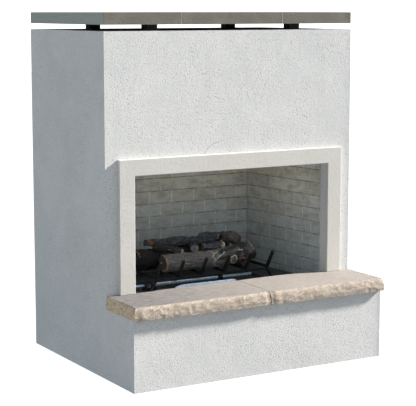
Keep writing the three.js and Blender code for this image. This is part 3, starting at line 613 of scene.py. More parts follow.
def outline_points(corners):
    """Even steps along a closed outline of (x, y, how pitched the side after it is)."""
    points = []
    for (x0, y0, pitch), (x1, y1, _) in zip(corners, corners[1:] + corners[:1]):
        start, run = Vector((x0, y0, 0)), Vector((x1 - x0, y1 - y0, 0))
        outwards = run.cross(Vector((0, 0, 1))).normalized()
        steps_here = max(1, round(run.length / CHIP_STEP)) if pitch else 1
        points += [(start + run * (i / steps_here), outwards, pitch) for i in range(steps_here)]
    return points


def struck_shells(chance, length):
    """Shells struck off a face: for each its place along and up, half width, half height and depth."""
    shells = []
    along = 0.0
    while along < length:
        wide = chance.uniform(0.013, 0.030)
        for rise in (0.006, 0.028, 0.052):
            shells.append((
                along + chance.uniform(-0.010, 0.010), rise + chance.uniform(-0.006, 0.006),
                wide * chance.uniform(0.9, 1.5), chance.uniform(0.012, 0.022), chance.uniform(0.0008, 0.0032),
            ))
        along += wide * chance.uniform(0.8, 1.2)
    return shells


def shell_depth(shells, along, rise):
    deepest = 0.0
    for place, height, wide, tall, depth in shells:
        if abs(along - place) < wide * 1.4:
            reach = ((along - place) / wide) ** 2 + ((rise - height) / tall) ** 2
            deepest = max(deepest, depth * (1.15 - reach))
    return deepest


def hearth_slab(name, corners, seed, chips):
    chance = random.Random(seed)
    points = outline_points(corners)
    shells = struck_shells(chance, len(points) * CHIP_STEP)
    tall = SLAB_TOP - SLAB_BED
    bm = bmesh.new()
    pitched = bm.verts.layers.float.new("pitched")
    wrapped_grid(bm, len(points), SLAB_ROWS)
    for vert in bm.verts:
        turn, rise = vert.co.x, vert.co.y
        index = round(turn * len(points)) % len(points)
        spot, outwards, pitch = points[index]
        _, earlier, earlier_pitch = points[index - 1]
        share = max(pitch, earlier_pitch)
        across = (outwards * pitch + earlier * earlier_pitch) if share else outwards + earlier
        across.normalize()
        height = tall * min(1.0, rise * SLAB_ROWS / (SLAB_ROWS - 1))
        lip = rise > 1 - 0.5 / SLAB_ROWS
        belly = FRONT_BELLY if share == 1 else END_BELLY if share > 0.9 else 0.0
        belly *= math.sin(math.pi * min(1.0, 0.40 + 0.55 * height / tall))
        deep = shell_depth(shells, index * CHIP_STEP, height)
        for place, wide, depth in chips:
            deep += max(0.0, depth * (1 - ((spot - Vector((*place, 0))).length / wide) ** 2))
        near_top = max(0.0, 1 - (tall - height) / STRUCK_TALL)
        struck = share * (1.0 if share == 1 else 0.4)
        out = share * (belly - deep) - struck * (0.0025 + 0.6 * deep) * near_top ** 2
        drop = struck * near_top * (0.002 + 0.5 * deep)
        if lip:
            out -= struck * (0.003 + 0.5 * deep)
            drop = 0.0
        vert.co = spot + across * out + Vector((0, 0, SLAB_BED + height - drop))
        if lip and abs(vert.co.x) > CORNER_FROM[0] and vert.co.y < CORNER_FROM[1]:
            vert.co.x = math.copysign(min(abs(vert.co.x), CORNER_KEPT[0]), vert.co.x)
            vert.co.y = max(vert.co.y, CORNER_KEPT[1])
        vert[pitched] = 0.0 if lip else min(1.0, share * 1.25)
    close_seam(bm)
    return piece_from(name, bm, sandstone, sharp=24, slot="sandstone")


left_slab = hearth_slab("hearth_stone_left", [
    (0.0265, -0.534, 0), (0.0385, -0.236, 0.8), (-0.06, -0.232, 0.8), (-0.17, -0.2395, 0.35),
    (-0.40, -0.243, 0.8), (-0.425, -0.2545, 0), (-0.522, -0.256, 0), (-0.66, -0.256, 0.95), (-0.66, -0.534, 1),
], seed=11, chips=[((0.024, -0.545), 0.028, 0.007), ((-0.66, -0.540), 0.026, 0.003)])
right_slab = hearth_slab("hearth_stone_right", [
    (0.66, -0.534, 0.95), (0.66, -0.256, 0), (0.522, -0.256, 0), (0.48, -0.2565, 0.8), (0.40, -0.2265, 0.35),
    (0.17, -0.2235, 0.8), (0.0415, -0.231, 0), (0.0295, -0.534, 1),
], seed=23, chips=[((0.034, -0.545), 0.020, 0.005), ((0.666, -0.540), 0.026, 0.003)])
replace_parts(left_slab, "hearth_slab_left")
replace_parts(right_slab, "hearth_slab_right")

# %% [markdown]
# ## Brick lining
# The firebox is lined with three panels in brick relief. The faces are 122 by 58.5 mm, in running bond,
# with joints 5 mm wide. A flat panel with a brick pattern would show no depth from the side, so each
# face is a small block with a worn arris in front of a mortar sheet, and keeps its own tone in a vertex
# attribute. The upright joints are filled nearly flush, their mortar painted pale as a painted highlight,
# and the bed joints are painted darker as painted shade. Smudges of soot grey the bricks in patches.
# Towards the floor every colour is painted darker and bluer, a painted shade, and towards the lintel
# warmer and paler, a painted warm light.

# %% Brick finish
PAINTED_SHADE_TO, PAINTED_LIGHT_FROM = 0.36, 0.92


def brick_finish():
    brick = Finish("firebrick", 0.9)
    tone = brick.attribute("tone")["Fac"]
    # Towards the floor the clay is painted darker and bluer, a painted shade; towards the lintel warmer and
    # paler, a painted warm light.
    rise = brick.spread(brick.axis("Z"), PAINTED_SHADE_TO, PAINTED_LIGHT_FROM)
    clay = brick.steps(rise, (0.0, (0.49, 0.575, 0.61)), (0.45, (0.54, 0.58, 0.57)), (1.0, (0.88, 0.81, 0.625)))
    clouds = brick.noise(0.045, detail=7.0, roughness=0.7, place=brick.squeezed(0.7, 0.7, 1.5))
    colour = brick.blend(brick.steps(clouds, (0.34, 0.8), (0.56, 0.0)), clay, (0.33, 0.33, 0.31))
    colour = brick.blend(brick.steps(tone, (0.0, 0.45), (1.0, 0.0)), colour, (0.46, 0.44, 0.38))
    pits = brick.steps(brick.noise(0.0055, detail=3.0, roughness=0.6), (0.30, 0.0), (0.40, 1.0))
    colour = brick.blend(pits, (0.14, 0.14, 0.13), colour)
    return brick.finish(colour, (clouds, 0.003), (pits, 0.0018), (brick.noise(0.0018, detail=2.0), 0.0006))


def joint_finish(name, low, high, soot):
    """Mortar graded from low near the floor to high near the lintel, painted shade and light, with soot
    smudges.
    """
    joint = Finish(name, 0.95)
    colour = joint.steps(joint.spread(joint.axis("Z"), PAINTED_SHADE_TO, PAINTED_LIGHT_FROM), (0.0, low), (1.0, high))
    smudges = joint.noise(0.025, detail=5.0, roughness=0.65)
    colour = joint.blend(joint.steps(smudges, (0.36, 0.9), (0.68, 0.0)), colour, soot)
    return joint.finish(colour, (joint.noise(0.002, detail=3.0), 0.0008))


firebrick = brick_finish()
# The upright joints are painted pale, a painted highlight, and the bed joints darker, a painted shade.
head_joint_painted_highlight = joint_finish("head_joint_painted_highlight", (0.70, 0.77, 0.79), (0.90, 0.88, 0.80), (0.48, 0.49, 0.48))
bed_joint_painted_shade = joint_finish("bed_joint_painted_shade", (0.51, 0.56, 0.57), (0.58, 0.54, 0.45), (0.14, 0.14, 0.135))

# %% Brick panels
BRICK_LONG, BRICK_TALL = 0.127, 0.0635
JOINT = 0.005
FIRST_BED = 0.365
PANEL_LOW, PANEL_HIGH = 0.336, 0.914


def brick_panel(name, node, run, odd_start, even_start, corner, along, outwards, seed):
    """A panel of run metres. Its courses start at odd_start or even_start, measured from the corner."""
    chance = random.Random(seed)
    bm = bmesh.new()
    tones, heads = [], []
    for course in range(-1, 9):
        low = FIRST_BED + course * BRICK_TALL + JOINT / 2
        start = odd_start if course % 2 else even_start
        for number in range(-1, 9):
            left = start + number * BRICK_LONG + JOINT / 2
            right = min(left + BRICK_LONG - JOINT, run)
            left, bottom = max(left, 0.0), max(low, PANEL_LOW)
            top = min(low + BRICK_TALL - JOINT, PANEL_HIGH)
            if right - left < 0.006 or top - bottom < 0.004:
                continue
            proud = chance.uniform(-0.0006, 0.0006)
            block(bm, (left, -0.010, bottom), (right, proud, top), arris=0.0018)
            tones.append((left, right, bottom, top, chance.random()))
            if right < run:
                heads.append((right, bottom, top))
    tone = bm.verts.layers.float.new("tone")
    for vert in bm.verts:
        x, _, z = vert.co
        for left, right, bottom, top, value in tones:
            if left - 0.001 < x < right + 0.001 and bottom - 0.001 < z < top + 0.001:
                vert[tone] = value
                vert.co.y += 0.0007 * noise.noise(Vector((x * 45, seed, z * 45)))
                break
    bricks = len(bm.faces)
    for right, bottom, top in heads:
        block(bm, (right, -0.009, bottom), (right + JOINT, -0.0006, top))
    flush = len(bm.faces)
    block(bm, (0, -0.036, PANEL_LOW), (run, -0.0018, PANEL_HIGH))
    bm.faces.ensure_lookup_table()
    for number, face in enumerate(bm.faces):
        face.material_index = 0 if number < bricks else 1 if number < flush else 2
    turn = Matrix((along, outwards, Vector((0, 0, 1)))).transposed().to_4x4()
    bm.transform(Matrix.Translation(corner) @ turn)
    panel = piece_from(name, bm, firebrick, head_joint_painted_highlight, bed_joint_painted_shade, slot="firebrick")
    flat_faces(panel)
    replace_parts(panel, node)


BACK_HALF, BACK_PLACE = 0.458, 0.362
MOUTH_HALF, MOUTH_PLACE = 0.522, -0.212
brick_panel(
    "brick_lining_back", "firebox_back", 2 * BACK_HALF, BACK_HALF * 2 - 8.5 * BRICK_LONG,
    BACK_HALF * 2 - 8 * BRICK_LONG, Vector((-BACK_HALF, BACK_PLACE, 0)),
    Vector((1, 0, 0)), Vector((0, -1, 0)), 4,
)
for side, word in ((-1, "left"), (1, "right")):
    rear = Vector((side * BACK_HALF, BACK_PLACE, 0))
    front = Vector((side * MOUTH_HALF, MOUTH_PLACE, 0))
    along = (front - rear).normalized()
    outwards = Vector((side * along.y, -side * along.x, 0))
    brick_panel(
        "brick_lining_" + word, "firebox_" + word, (front - rear).length, 0.0, -BRICK_LONG / 2,
        rear, along, outwards, 7 + side,
    )

# %% [markdown]
# ## Logs
# The logs are cast ceramic, painted as charred wood: furrowed bark, knots, ends that look sawn, and
# touches of tan, rust and ash. They could be sculpted, but a few numbers can describe them too: each is
# one wrapped grid that follows a smooth line through a few points of its CAD node. Noise stretched
# along the log cuts the furrows, and a rim and rings shape the ends. Vertex attributes keep where the
# sawn ends are and where a brush left a touch of paint.

# %% Log finish
def log_finish(name, dark, pale, ash, ends, blocky=0.0):
    """Painted bark. Blocky bark is charred: cracks across it leave small raised blocks."""
    log = Finish(name, 0.62)
    furrowed = log.squeezed(1, 0.45, 1, place=log.node("ShaderNodeUVMap").outputs["UV"])
    furrows = log.noise(0.0075, detail=6.0, roughness=0.7, place=furrowed, distortion=1.2)
    broad = log.noise(0.035, roughness=0.6)
    specks = log.noise(0.0034, detail=3.0, roughness=0.75)
    colour = log.steps(furrows, (0.36, dark), (0.60, pale))
    colour = log.blend(log.steps(broad, (0.50, 0.0), (0.70, 0.75)), colour, dark)
    colour = log.blend(log.steps(specks, (0.57, 0.0), (0.68, 0.7)), colour, ash)
    bumps = [(furrows, 0.0045)]
    if blocky:
        blocks = log.node("ShaderNodeTexVoronoi", Vector=furrowed, Scale=95.0)
        blocks.feature = "DISTANCE_TO_EDGE"
        cracks = log.steps(blocks.outputs["Distance"], (0.0, 0.0), (0.12, 1.0))
        cracks = log.blend(blocky, (1.0, 1.0, 1.0), cracks)
        colour = log.blend(cracks, (0.006, 0.006, 0.006), colour)
        bumps.append((cracks, 0.003))
    sawn = log.steps(specks, (0.35, tuple(0.45 * c for c in ends)), (0.65, ends))
    colour = log.blend(log.attribute("sawn")["Fac"], colour, sawn)
    brushed = log.attribute("marks")
    share = log.maths("MULTIPLY", brushed["Alpha"], log.steps(specks, (0.34, 0.45), (0.52, 1.0)))
    colour = log.blend(share, colour, brushed["Color"])
    return log.finish(colour, *bumps, (specks, 0.0014))


PLAIN_END = (0.12, 0.10, 0.085)
ash_bark, char_bark, coal_bark, branch_bark, round_bark, brown_bark = (log_finish(*looks) for looks in (
    ("ash_bark", (0.066, 0.056, 0.049), (0.255, 0.233, 0.216), (0.58, 0.55, 0.51), PLAIN_END),
    ("char_bark", (0.010, 0.008, 0.008), (0.045, 0.036, 0.033), (0.15, 0.13, 0.12), PLAIN_END, 0.5),
    ("coal_bark", (0.014, 0.015, 0.018), (0.17, 0.182, 0.205), (0.54, 0.55, 0.58), (0.13, 0.085, 0.05), 0.9),
    ("branch_bark", (0.012, 0.011, 0.011), (0.085, 0.078, 0.075), (0.24, 0.22, 0.21), (0.85, 0.66, 0.50), 0.4),
    ("round_bark", (0.012, 0.012, 0.013), (0.075, 0.078, 0.085), (0.24, 0.24, 0.25), (0.27, 0.31, 0.35), 0.4),
    ("brown_bark", (0.030, 0.025, 0.022), (0.165, 0.145, 0.130), (0.36, 0.34, 0.32), (0.15, 0.115, 0.085), 0.3),
))

# %% Log shapes
BLACK = (0.010, 0.010, 0.011)
TINE_TOP = 0.4023
CAP_ROWS = 12
SMALLEST_RIM = 0.04
LONGEST_STROKE = 0.12
# The clock seeds noise_vector unless a script does, and then the paint would differ each time.
noise.seed_set(7)


def metres(values):
    return [value / 1000 for value in values]


def along_line(points, share):
    """A place and its radius on the smooth line through (x, y, z, radius) points."""
    reach = share * (len(points) - 1)
    leg = min(int(reach), len(points) - 2)
    t = reach - leg
    near = [Vector(points[min(max(leg + step, 0), len(points) - 1)]) for step in (-1, 0, 1, 2)]
    shape = [
        0.5 * (2 * b + (c - a) * t + (2 * a - 5 * b + 4 * c - d) * t ** 2 + (3 * b - a - 3 * c + d) * t ** 3)
        for a, b, c, d in zip(*near)
    ]
    return Vector(shape[:3]), shape[3]


def stroke_gap(place, stroke):
    """How far a place is from a stroke, which is one point or a run of them."""
    gap = (place - stroke[0]).length
    if gap > LONGEST_STROKE:
        return gap
    for start, end in zip(stroke, stroke[1:]):
        run = end - start
        share = min(max((place - start).dot(run) / run.length_squared, 0.0), 1.0)
        gap = min(gap, (place - start - run * share).length)
    return gap


def bark_reach(turn, share, radius, length, seed, furrow, lump, knots):
    """How far the bark stands off the log's middle line, at a turn round it and a share along it."""
    round_x, round_y, along = math.cos(turn), math.sin(turn), share * length
    swell = 1 + 0.09 * noise.noise(Vector((round_x * 1.6, round_y * 1.6, along * 9 + seed)))
    swell += 0.03 * math.sin(2 * turn + seed)
    around = Vector((round_x * radius, round_y * radius, 0))
    lumps = lump * noise.noise(around * 55 + Vector((0, 0, along * 42 + seed)))
    ridge = abs(noise.noise(around * 190 + Vector((0, 0, along * 26 + seed))))
    crack = abs(noise.noise(Vector((round_x * 2.6, round_y * 2.6, along * 7 - seed)))) / 0.045
    reach = radius * swell + lumps - furrow * (1 - ridge * 2.2) - 0.6 * furrow * max(0.0, 1 - crack)
    for knot_share, knot_turn, size in knots:
        off_turn = (turn - knot_turn + math.pi) % (2 * math.pi) - math.pi
        away = math.hypot((share - knot_share) * length, off_turn * radius) / size
        reach += size * 0.30 * math.exp(-away ** 2 * 1.6) - size * 0.28 * math.exp(-away ** 2 * 9)
    worn_end = max(0.0, 1 - min(share, 1 - share) * length / 0.006)
    return reach - 0.0035 * worn_end ** 2


def paint_at(place, soot, strokes):
    """The colour of the brush at a place, and how much of it is there: soot first, then each stroke."""
    tint = (*BLACK, min(1.0, max(0.0, soot * (0.78 + 1.3 * noise.noise(place * 38)))))
    drift = noise.noise_vector(place * 110) * 0.003
    for reach, shade, stroke in strokes:
        gap = stroke_gap(place + drift, stroke) / reach
        if gap < 1.6:
            fuzz = 0.45 * noise.noise(place * 170) + 0.35 * noise.noise(place * 420)
            tint = (*shade, min(1.0, 2.6 * (1 + fuzz - gap))) if gap < 1 + fuzz else tint
    return tint


def ceramic_log(
    name, node, points, finish, seed, furrow=0.0022, lump=0.004, knots=(), marks=(), charred=2.0, grain=0.0028,
):
    """A bark-covered log through its points, with knots (share, turn, size) and painted marks.

    Points and marks are in millimetres. Past the share charred, soot darkens the bark.
    """
    points = [metres(point) for point in points]
    strokes = [
        (reach / 1000, shade, [Vector(metres(place)) for place in stroke]) for reach, shade, stroke in marks
    ]
    radius = max(point[3] for point in points)
    length = sum((Vector(b[:3]) - Vector(a[:3])).length for a, b in zip(points, points[1:]))
    rows = max(60, round(length / (1.15 * grain))) + 2 * CAP_ROWS
    bm = bmesh.new()
    sawn = bm.verts.layers.float.new("sawn")
    painted = bm.verts.layers.float_color.new("marks")
    wrapped_grid(bm, max(40, round(2 * math.pi * radius / grain)), rows, 2 * math.pi * radius, length)
    for vert in bm.verts:
        turn, row = vert.co.x * 2 * math.pi, round(vert.co.y * rows)
        near_cap, far_cap = row < CAP_ROWS, row > rows - CAP_ROWS
        rim = max(min(row, rows - row, CAP_ROWS) / CAP_ROWS, SMALLEST_RIM)
        share = min(max((row - CAP_ROWS) / (rows - 2 * CAP_ROWS), 0.0), 1.0)
        spot, here = along_line(points, share)
        ahead, _ = along_line(points, min(share + 0.01, 1.0))
        behind, _ = along_line(points, max(share - 0.01, 0.0))
        run = (ahead - behind).normalized()
        level = run.cross(Vector((0, 0, 1))).normalized()
        ray = level * math.cos(turn) + level.cross(run) * math.sin(turn)
        out = bark_reach(turn, share, here, length, seed, furrow, lump, knots)
        rough = Vector((math.cos(turn) * 1.6, math.sin(turn) * 1.6, share * length * 9 + seed)) * 2.1
        bulge = 0.0035 * math.cos(rim * 9) * (1 - rim) + 0.003 * rim * noise.noise(rough)
        vert.co = spot + ray * out * rim + run * (bulge if far_cap else -bulge if near_cap else 0.0)
        vert.co.z = max(vert.co.z, TINE_TOP)
        vert[sawn] = 1.0 if (near_cap or far_cap) and rim < 0.97 else 0.0
        vert[painted] = paint_at(vert.co, min(1.0, max(0.0, 6 * (share - charred))), strokes)
    close_seam(bm)
    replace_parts(piece_from(name, bm, finish, sharp=60, slot="charred_bark"), node)

# %% [markdown]
# The front log is the widest and the one seen best. Its left half is bare ash-grey bark with the broken
# lines of a white and tan fork, its right half is charred and knotted. Each mark is one stroke: the
# reach of the brush, a colour and the places it passes. Noise would scatter the colours anywhere.

# %% Front log
TAN, CREAM, ASH = (0.62, 0.38, 0.19), (0.80, 0.66, 0.46), (0.66, 0.64, 0.62)
RUST, CLAY, UMBER = (0.52, 0.17, 0.045), (0.40, 0.17, 0.12), (0.045, 0.028, 0.020)

front_marks = [
    (4.1, TAN, [(-222, 19, 486), (-225, -1, 479), (-225, -13, 470), (-221, -20, 455), (-218, -21, 445)]),
    (5.5, RUST, [(-219, -22, 448)]),
    (5.9, BLACK, [(-223, 39, 445)]),
    (20, BLACK, [(75, -20, 485), (105, -15, 498), (150, -12, 506)]),
    (11, BLACK, [(55, -30, 452), (95, -30, 455)]),
    (4.1, TAN, [(-224, 26, 409), (-225, -11, 418), (-219, -20, 428)]),
    (2.7, CREAM, [(-130, -24, 447), (-115, -23, 443), (-96, -22, 439)]),
    (5, CLAY, [(-25, -17, 470), (-7, -15, 472)]),
    (3.7, ASH, [(21, 15, 488), (31, -3, 483), (37, -17, 476), (60, -10, 482)]),
    (3.2, CREAM, [(37, -17, 476), (23, -28, 463), (43, -28, 446), (28, -26, 434), (38, -20, 420),
        (65, -12, 411), (92, 1, 404)]),
    (3.2, ASH, [(43, -28, 446), (58, -29, 462), (77, -26, 470), (93, -21, 479)]),
    (3.2, TAN, [(4, -5, 408), (31, -3, 405)]),
    (3.2, CREAM, [(125, -31, 435), (123, -37, 452), (135, -38, 463), (149, -38, 458), (156, -36, 443),
        (158, -24, 426), (145, -22, 420), (129, -28, 428)]),
    (4.6, TAN, [(130, -37, 449), (139, -32, 437)]),
    (2.7, ASH, [(250, 28, 509), (245, 2, 510), (253, -1, 506), (251, -21, 495)]),
    (3.2, ASH, [(170, -26, 486), (191, -30, 485)]),
    (5.9, RUST, [(192, -36, 447), (206, -32, 439)]),
    (4.1, RUST, [(234, -34, 477), (236, -35, 467)]),
    (4.6, RUST, [(192, -5, 416), (195, -19, 422)]),
]
ceramic_log("ceramic_front_log", "front_log", [
    (-224.3, 20, 446.3, 44), (-22.8, 16.1, 445.5, 42.9), (100.6, 15, 449.3, 47), (203.2, 13.9, 462.3, 51.2),
    (274.5, 11.9, 468.9, 41.3),
], ash_bark, 1.3, furrow=0.0016, lump=0.0035, marks=front_marks, charred=0.47, grain=0.002, knots=(
    (0.70, 3.35, 0.015), (0.52, 2.6, 0.010), (0.83, 2.5, 0.013), (0.93, 1.9, 0.010),
))

# %% [markdown]
# The rear log is nearly black, with one touch of rust on its left end. It and the front log carry five
# thinner logs, each with its own bark and its own painted ends, so the same helper makes them all.

# %% Rear and upper logs
rear_marks = [(4.6, RUST, [(-293, 162, 489), (-285, 151, 478), (-283, 144, 464)])]
ceramic_log("ceramic_rear_log", "rear_log", [
    (-299, 184.1, 448.3, 46), (-183, 178, 446.5, 44.2), (78.9, 177.4, 446, 44.6), (229.9, 180.2, 445.1, 42.8),
], char_bark, 5.1, marks=rear_marks, knots=((0.3, 2.6, 0.012), (0.75, 2.2, 0.012)))

branch_marks = [
    (3.7, TAN, [(-166, 69, 501), (-156, 51, 498)]),
    (3.7, RUST, [(-156, 51, 498), (-137, 24, 489)]),
    (5.5, RUST, [(-200, 135, 507)]),
]
ceramic_log("ceramic_branch", "branch_log", [
    (-118.2, 20, 495.1, 16.3), (-158.5, 90, 501.8, 18.1), (-195.1, 165.1, 499.5, 17.1),
], branch_bark, 8.7, furrow=0.0014, lump=0.003, marks=branch_marks)
round_marks = [(4.1, TAN, [(-28, 34, 511), (-23, 32, 499), (-23, 34, 490), (-31, 35, 483)])]
ceramic_log("ceramic_round_end", "round_end_log", [
    (-41.4, 39.9, 499.5, 21.8), (-15, 90, 499.5, 22.8), (12, 139.9, 499.5, 22.3),
], round_bark, 2.9, furrow=0.0014, lump=0.002, marks=round_marks)
split_marks = [
    (8.5, CREAM, [(115, 18, 521), (107, 8, 508), (107, 14, 493)]),
    (4.6, TAN, [(98, 10, 515), (96, 9, 502)]),
]
ceramic_log("ceramic_split_log", "split_log", [
    (-4.2, 29, 507.5, 15.6), (51.6, 27.9, 507.5, 17.6), (117.1, 27.9, 506.8, 20.6),
], coal_bark, 6.4, furrow=0.0018, marks=split_marks)
top_marks = [
    (10.5, RUST, [(-215, 183, 531), (-201, 175, 522)]),
    (5, TAN, [(-220, 184, 533)]),
    (5, RUST, [(-158, 169, 513)]),
    (4.6, TAN, [(152, 138, 536), (154, 137, 521)]),
    (12, BLACK, [(165, 140, 525), (190, 138, 530)]),
]
ceramic_log("ceramic_top_log", "top_log", [
    (-233.6, 193.9, 522.9, 16), (-151.1, 185, 515.6, 19.6), (-43.5, 177.1, 515.3, 25.2),
    (45.1, 167.9, 512.8, 23.2), (90.7, 163.1, 521.5, 31.6), (155, 157, 524.4, 23.5), (198, 150, 533, 18.5),
], coal_bark, 3.7, lump=0.0055, marks=top_marks, knots=((0.45, 1.9, 0.010), (0.72, 2.0, 0.012)))
thick_marks = [
    (5, RUST, [(195, 73, 559), (198, 59, 554)]),
    (3.2, UMBER, [(160, 90, 540), (168, 75, 540), (169, 71, 526), (163, 86, 520)]),
]
ceramic_log("ceramic_thick_log", "thick_log", [
    (178, 122, 527, 26.5), (195.5, 81, 530, 31), (218.1, 43, 520.8, 22.8),
], brown_bark, 9.9, furrow=0.0018, marks=thick_marks, knots=((0.55, 2.3, 0.012),))

# %% [markdown]
# ## Cap stone
# Three slabs of cut limestone cap the crown, on four pads and two flat bars. Their CAD shapes are
# right, so they stay, with a softened arris. The stone is a dull grey-buff, clouded, with dark pores
# that lie in faint beds, so the pore noise is squeezed along Z. The end that faces left is painted paler,
# as painted light.

# %% Cap finishes
def cap_stone_finish():
    stone = Finish("cap_stone", 0.85)
    clouds = stone.noise(0.09, detail=5.0, roughness=0.6)
    bedded = stone.squeezed(1, 1, 2.2)
    pores = stone.steps(stone.noise(0.009, roughness=0.62, place=bedded), (0.30, 0.35), (0.45, 1.0))
    pale = stone.steps(stone.noise(0.006, detail=3.0, place=bedded), (0.60, 0.0), (0.72, 0.4))
    colour = stone.steps(clouds, (0.3, (0.165, 0.155, 0.13)), (0.7, (0.225, 0.21, 0.18)))
    colour = stone.blend(pores, (0.085, 0.08, 0.066), colour)
    colour = stone.blend(pale, colour, (0.34, 0.325, 0.28))
    # The end that faces left is painted paler, as painted light.
    leftwards = stone.spread(stone.axis("X", stone.node("ShaderNodeNewGeometry").outputs["Normal"]), 0.0, -1.0)
    painted_light_end = stone.blend(pores, (0.22, 0.23, 0.22), (0.44, 0.465, 0.43))
    colour = stone.blend(leftwards, colour, painted_light_end)
    return stone.finish(colour, (pores, 0.0025), (stone.noise(0.002, detail=2.0), 0.0006))


def grainy_finish(name, roughness, size, depth, dark, pale, clouds=None):
    """Grains that stand out by depth. They shade from dark to pale, or else wider clouds do."""
    coat = Finish(name, roughness)
    grains = coat.noise(size, detail=3.0)
    shades = coat.noise(clouds, detail=5.0) if clouds else grains
    return coat.finish(coat.steps(shades, dark, pale), (grains, depth))


def four_of(name):
    """The names of four pieces that stand in the corners and share a name."""
    return ["%s_%s_%s" % (name, place, side) for place in ("front", "rear") for side in ("left", "right")]


grout = grainy_finish("grout", 0.95, 0.002, 0.0006, (0.3, (0.50, 0.49, 0.465)), (0.7, (0.66, 0.65, 0.62)))
rubber = grainy_finish(
    "pad_rubber", 0.7, 0.003, 0.0008, (0.35, (0.034, 0.033, 0.028)), (0.7, (0.070, 0.068, 0.056)),
)
dress(cap_stone_finish(), 0.0025, "cap_slab_left", "cap_slab_middle", "cap_slab_right")
dress(grout, 0, "cap_joint_left", "cap_joint_right")
dress(rubber, 0.002, *four_of("cap_pad"))

# %% [markdown]
# ## Metalwork
# The grate is bent from square bar and blackened, and heat has turned it brown-grey in patches. The
# burner tube is bright steel, scuffed and brown with heat in places; its blue is a painted reflection of
# the sky. The hidden bars, the lintel and the supply tube are zinc coated, with the broken facets of a
# dipped coat, which a Voronoi pattern gives, and their pale blue is a painted reflection of the sky.
# Floor, pan and knob wear a dusty black. Their CAD shapes are right, so they stay, and a Bevel softens
# the edges of most: a sharp edge would catch no light.

# %% Metal finishes
def black_iron_finish():
    iron = Finish("black_iron", 0.6)
    scale = iron.noise(0.012, detail=5.0, roughness=0.65)
    colour = iron.steps(
        scale, (0.3, (0.006, 0.006, 0.0065)), (0.6, (0.013, 0.0125, 0.0125)), (0.8, (0.034, 0.026, 0.020)),
    )
    rough = iron.steps(scale, (0.3, 0.5), (0.7, 0.8))
    return iron.finish(colour, (scale, 0.001), (iron.noise(0.002, detail=3.0), 0.0006), Roughness=rough)


def zinc_sky_finish():
    zinc = Finish("zinc_painted_sky", 0.38, metallic=0.2)
    facets = zinc.node("ShaderNodeTexVoronoi", Vector=zinc.place, Scale=160.0).outputs["Color"]
    facets = zinc.node("ShaderNodeSeparateColor", Color=facets).outputs[0]
    stain = zinc.noise(0.02, detail=5.0)
    # The pale blue is a painted reflection of the sky.
    colour = zinc.steps(facets, (0.0, (0.42, 0.55, 0.74)), (1.0, (0.60, 0.73, 0.92)))
    colour = zinc.blend(zinc.steps(stain, (0.5, 0.0), (0.8, 0.5)), colour, (0.26, 0.25, 0.24))
    return zinc.finish(colour, (stain, 0.0004), Roughness=zinc.steps(facets, (0.0, 0.3), (1.0, 0.5)))


def burner_finish():
    steel = Finish("burner_steel", 0.3, metallic=0.9)
    heat_and_sky_tint = steel.noise(0.03, place=steel.squeezed(1, 0.3, 0.3))
    scuffs = steel.noise(0.0015, detail=3.0, place=steel.squeezed(0.15, 1, 1))
    # The two blue shades are a painted reflection of the sky, and the brown one is heat tint.
    colour = steel.steps(heat_and_sky_tint, (0.3, (0.42, 0.50, 0.60)), (0.55, (0.56, 0.65, 0.76)), (0.8, (0.50, 0.46, 0.42)))
    return steel.finish(colour, (scuffs, 0.0002), Roughness=steel.steps(scuffs, (0.3, 0.22), (0.7, 0.4)))


def firebox_black_finish():
    soot = Finish("firebox_black", 0.5)
    dust = soot.noise(0.03, detail=6.0, roughness=0.65)
    grit = soot.noise(0.0025, detail=3.0)
    colour = soot.steps(dust, (0.35, (0.045, 0.050, 0.055)), (0.75, (0.105, 0.11, 0.115)))
    colour = soot.blend(soot.steps(grit, (0.6, 0.0), (0.75, 0.5)), colour, (0.2, 0.2, 0.2))
    return soot.finish(colour, (grit, 0.0008))

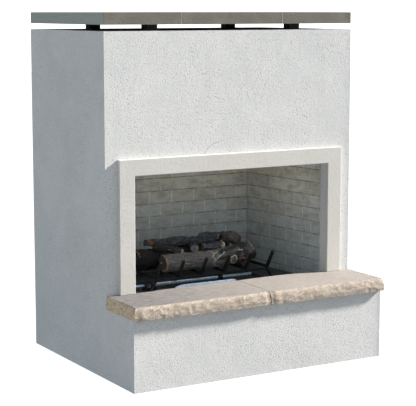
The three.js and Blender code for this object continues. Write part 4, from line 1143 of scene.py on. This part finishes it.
# %% Metalwork
black_iron = black_iron_finish()
zinc = zinc_sky_finish()
grate = ["grate_tine_%d" % number for number in range(1, 7)] + ["grate_front_bar", "grate_rear_bar"]
grate += four_of("grate_leg")
flue_clay = grainy_finish(
    "flue_clay", 0.8, 0.003, 0.0008, (0.3, (0.30, 0.15, 0.08)), (0.7, (0.40, 0.22, 0.13)), clouds=0.05,
)
dress(black_iron, 0.0015, *grate)
dress(black_iron, 0.0008, "gas_valve", "tube_clip")
dress(black_iron, 0, "top_plate", "smoke_hood")
dress(zinc, 0.0008, "cap_bar_front", "cap_bar_rear", "lintel_angle")
dress(zinc, 0, "gas_supply_tube")
firebox_black = firebox_black_finish()
dress(firebox_black, 0, "firebox_floor", "valve_knob")
dress(firebox_black, 0.001, "burner_pan")
dress(burner_finish(), 0.0006, "burner_tube")
dress(flue_clay, 0.0015, "flue_liner")

# %% [markdown]
# ## Edge strip
# A zinc angle stands on edge behind the hearth stones. Its top edge was cut by hand, so it dips at both
# ends and wanders a little between them. The straight CAD strip has no corners to move there, so a new
# L is pushed along the stones and cut into short lengths.

# %% Edge strip
STRIP_LEFT, STRIP_RIGHT = -0.293, 0.036
ANGLE = [
    (-0.194, 0.3363), (-0.227, 0.3363), (-0.227, 0.3895), (-0.224, 0.3895), (-0.224, 0.3393), (-0.194, 0.3393),
]
bm = bmesh.new()
extruded_profile(bm, [(STRIP_LEFT, y, z) for y, z in ANGLE], (0.329, 0, 0))
long_edges = [edge for edge in bm.edges if edge.calc_length() > 0.3]
bmesh.ops.subdivide_edges(bm, edges=long_edges, cuts=50)
for vert in bm.verts:
    if vert.co.z > 0.38:
        left_dip = 0.0075 * max(0.0, 1 - (vert.co.x - STRIP_LEFT) / 0.055) ** 2
        right_dip = 0.006 * max(0.0, 1 - (STRIP_RIGHT - vert.co.x) / 0.014)
        wander = 0.0007 * math.sin(90 * vert.co.x) * math.sin(210 * vert.co.x)
        vert.co.z += wander - left_dip - right_dip
strip = piece_from("zinc_edge_strip", bm, zinc, sharp=60)
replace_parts(strip, "hearth_edge_strip")
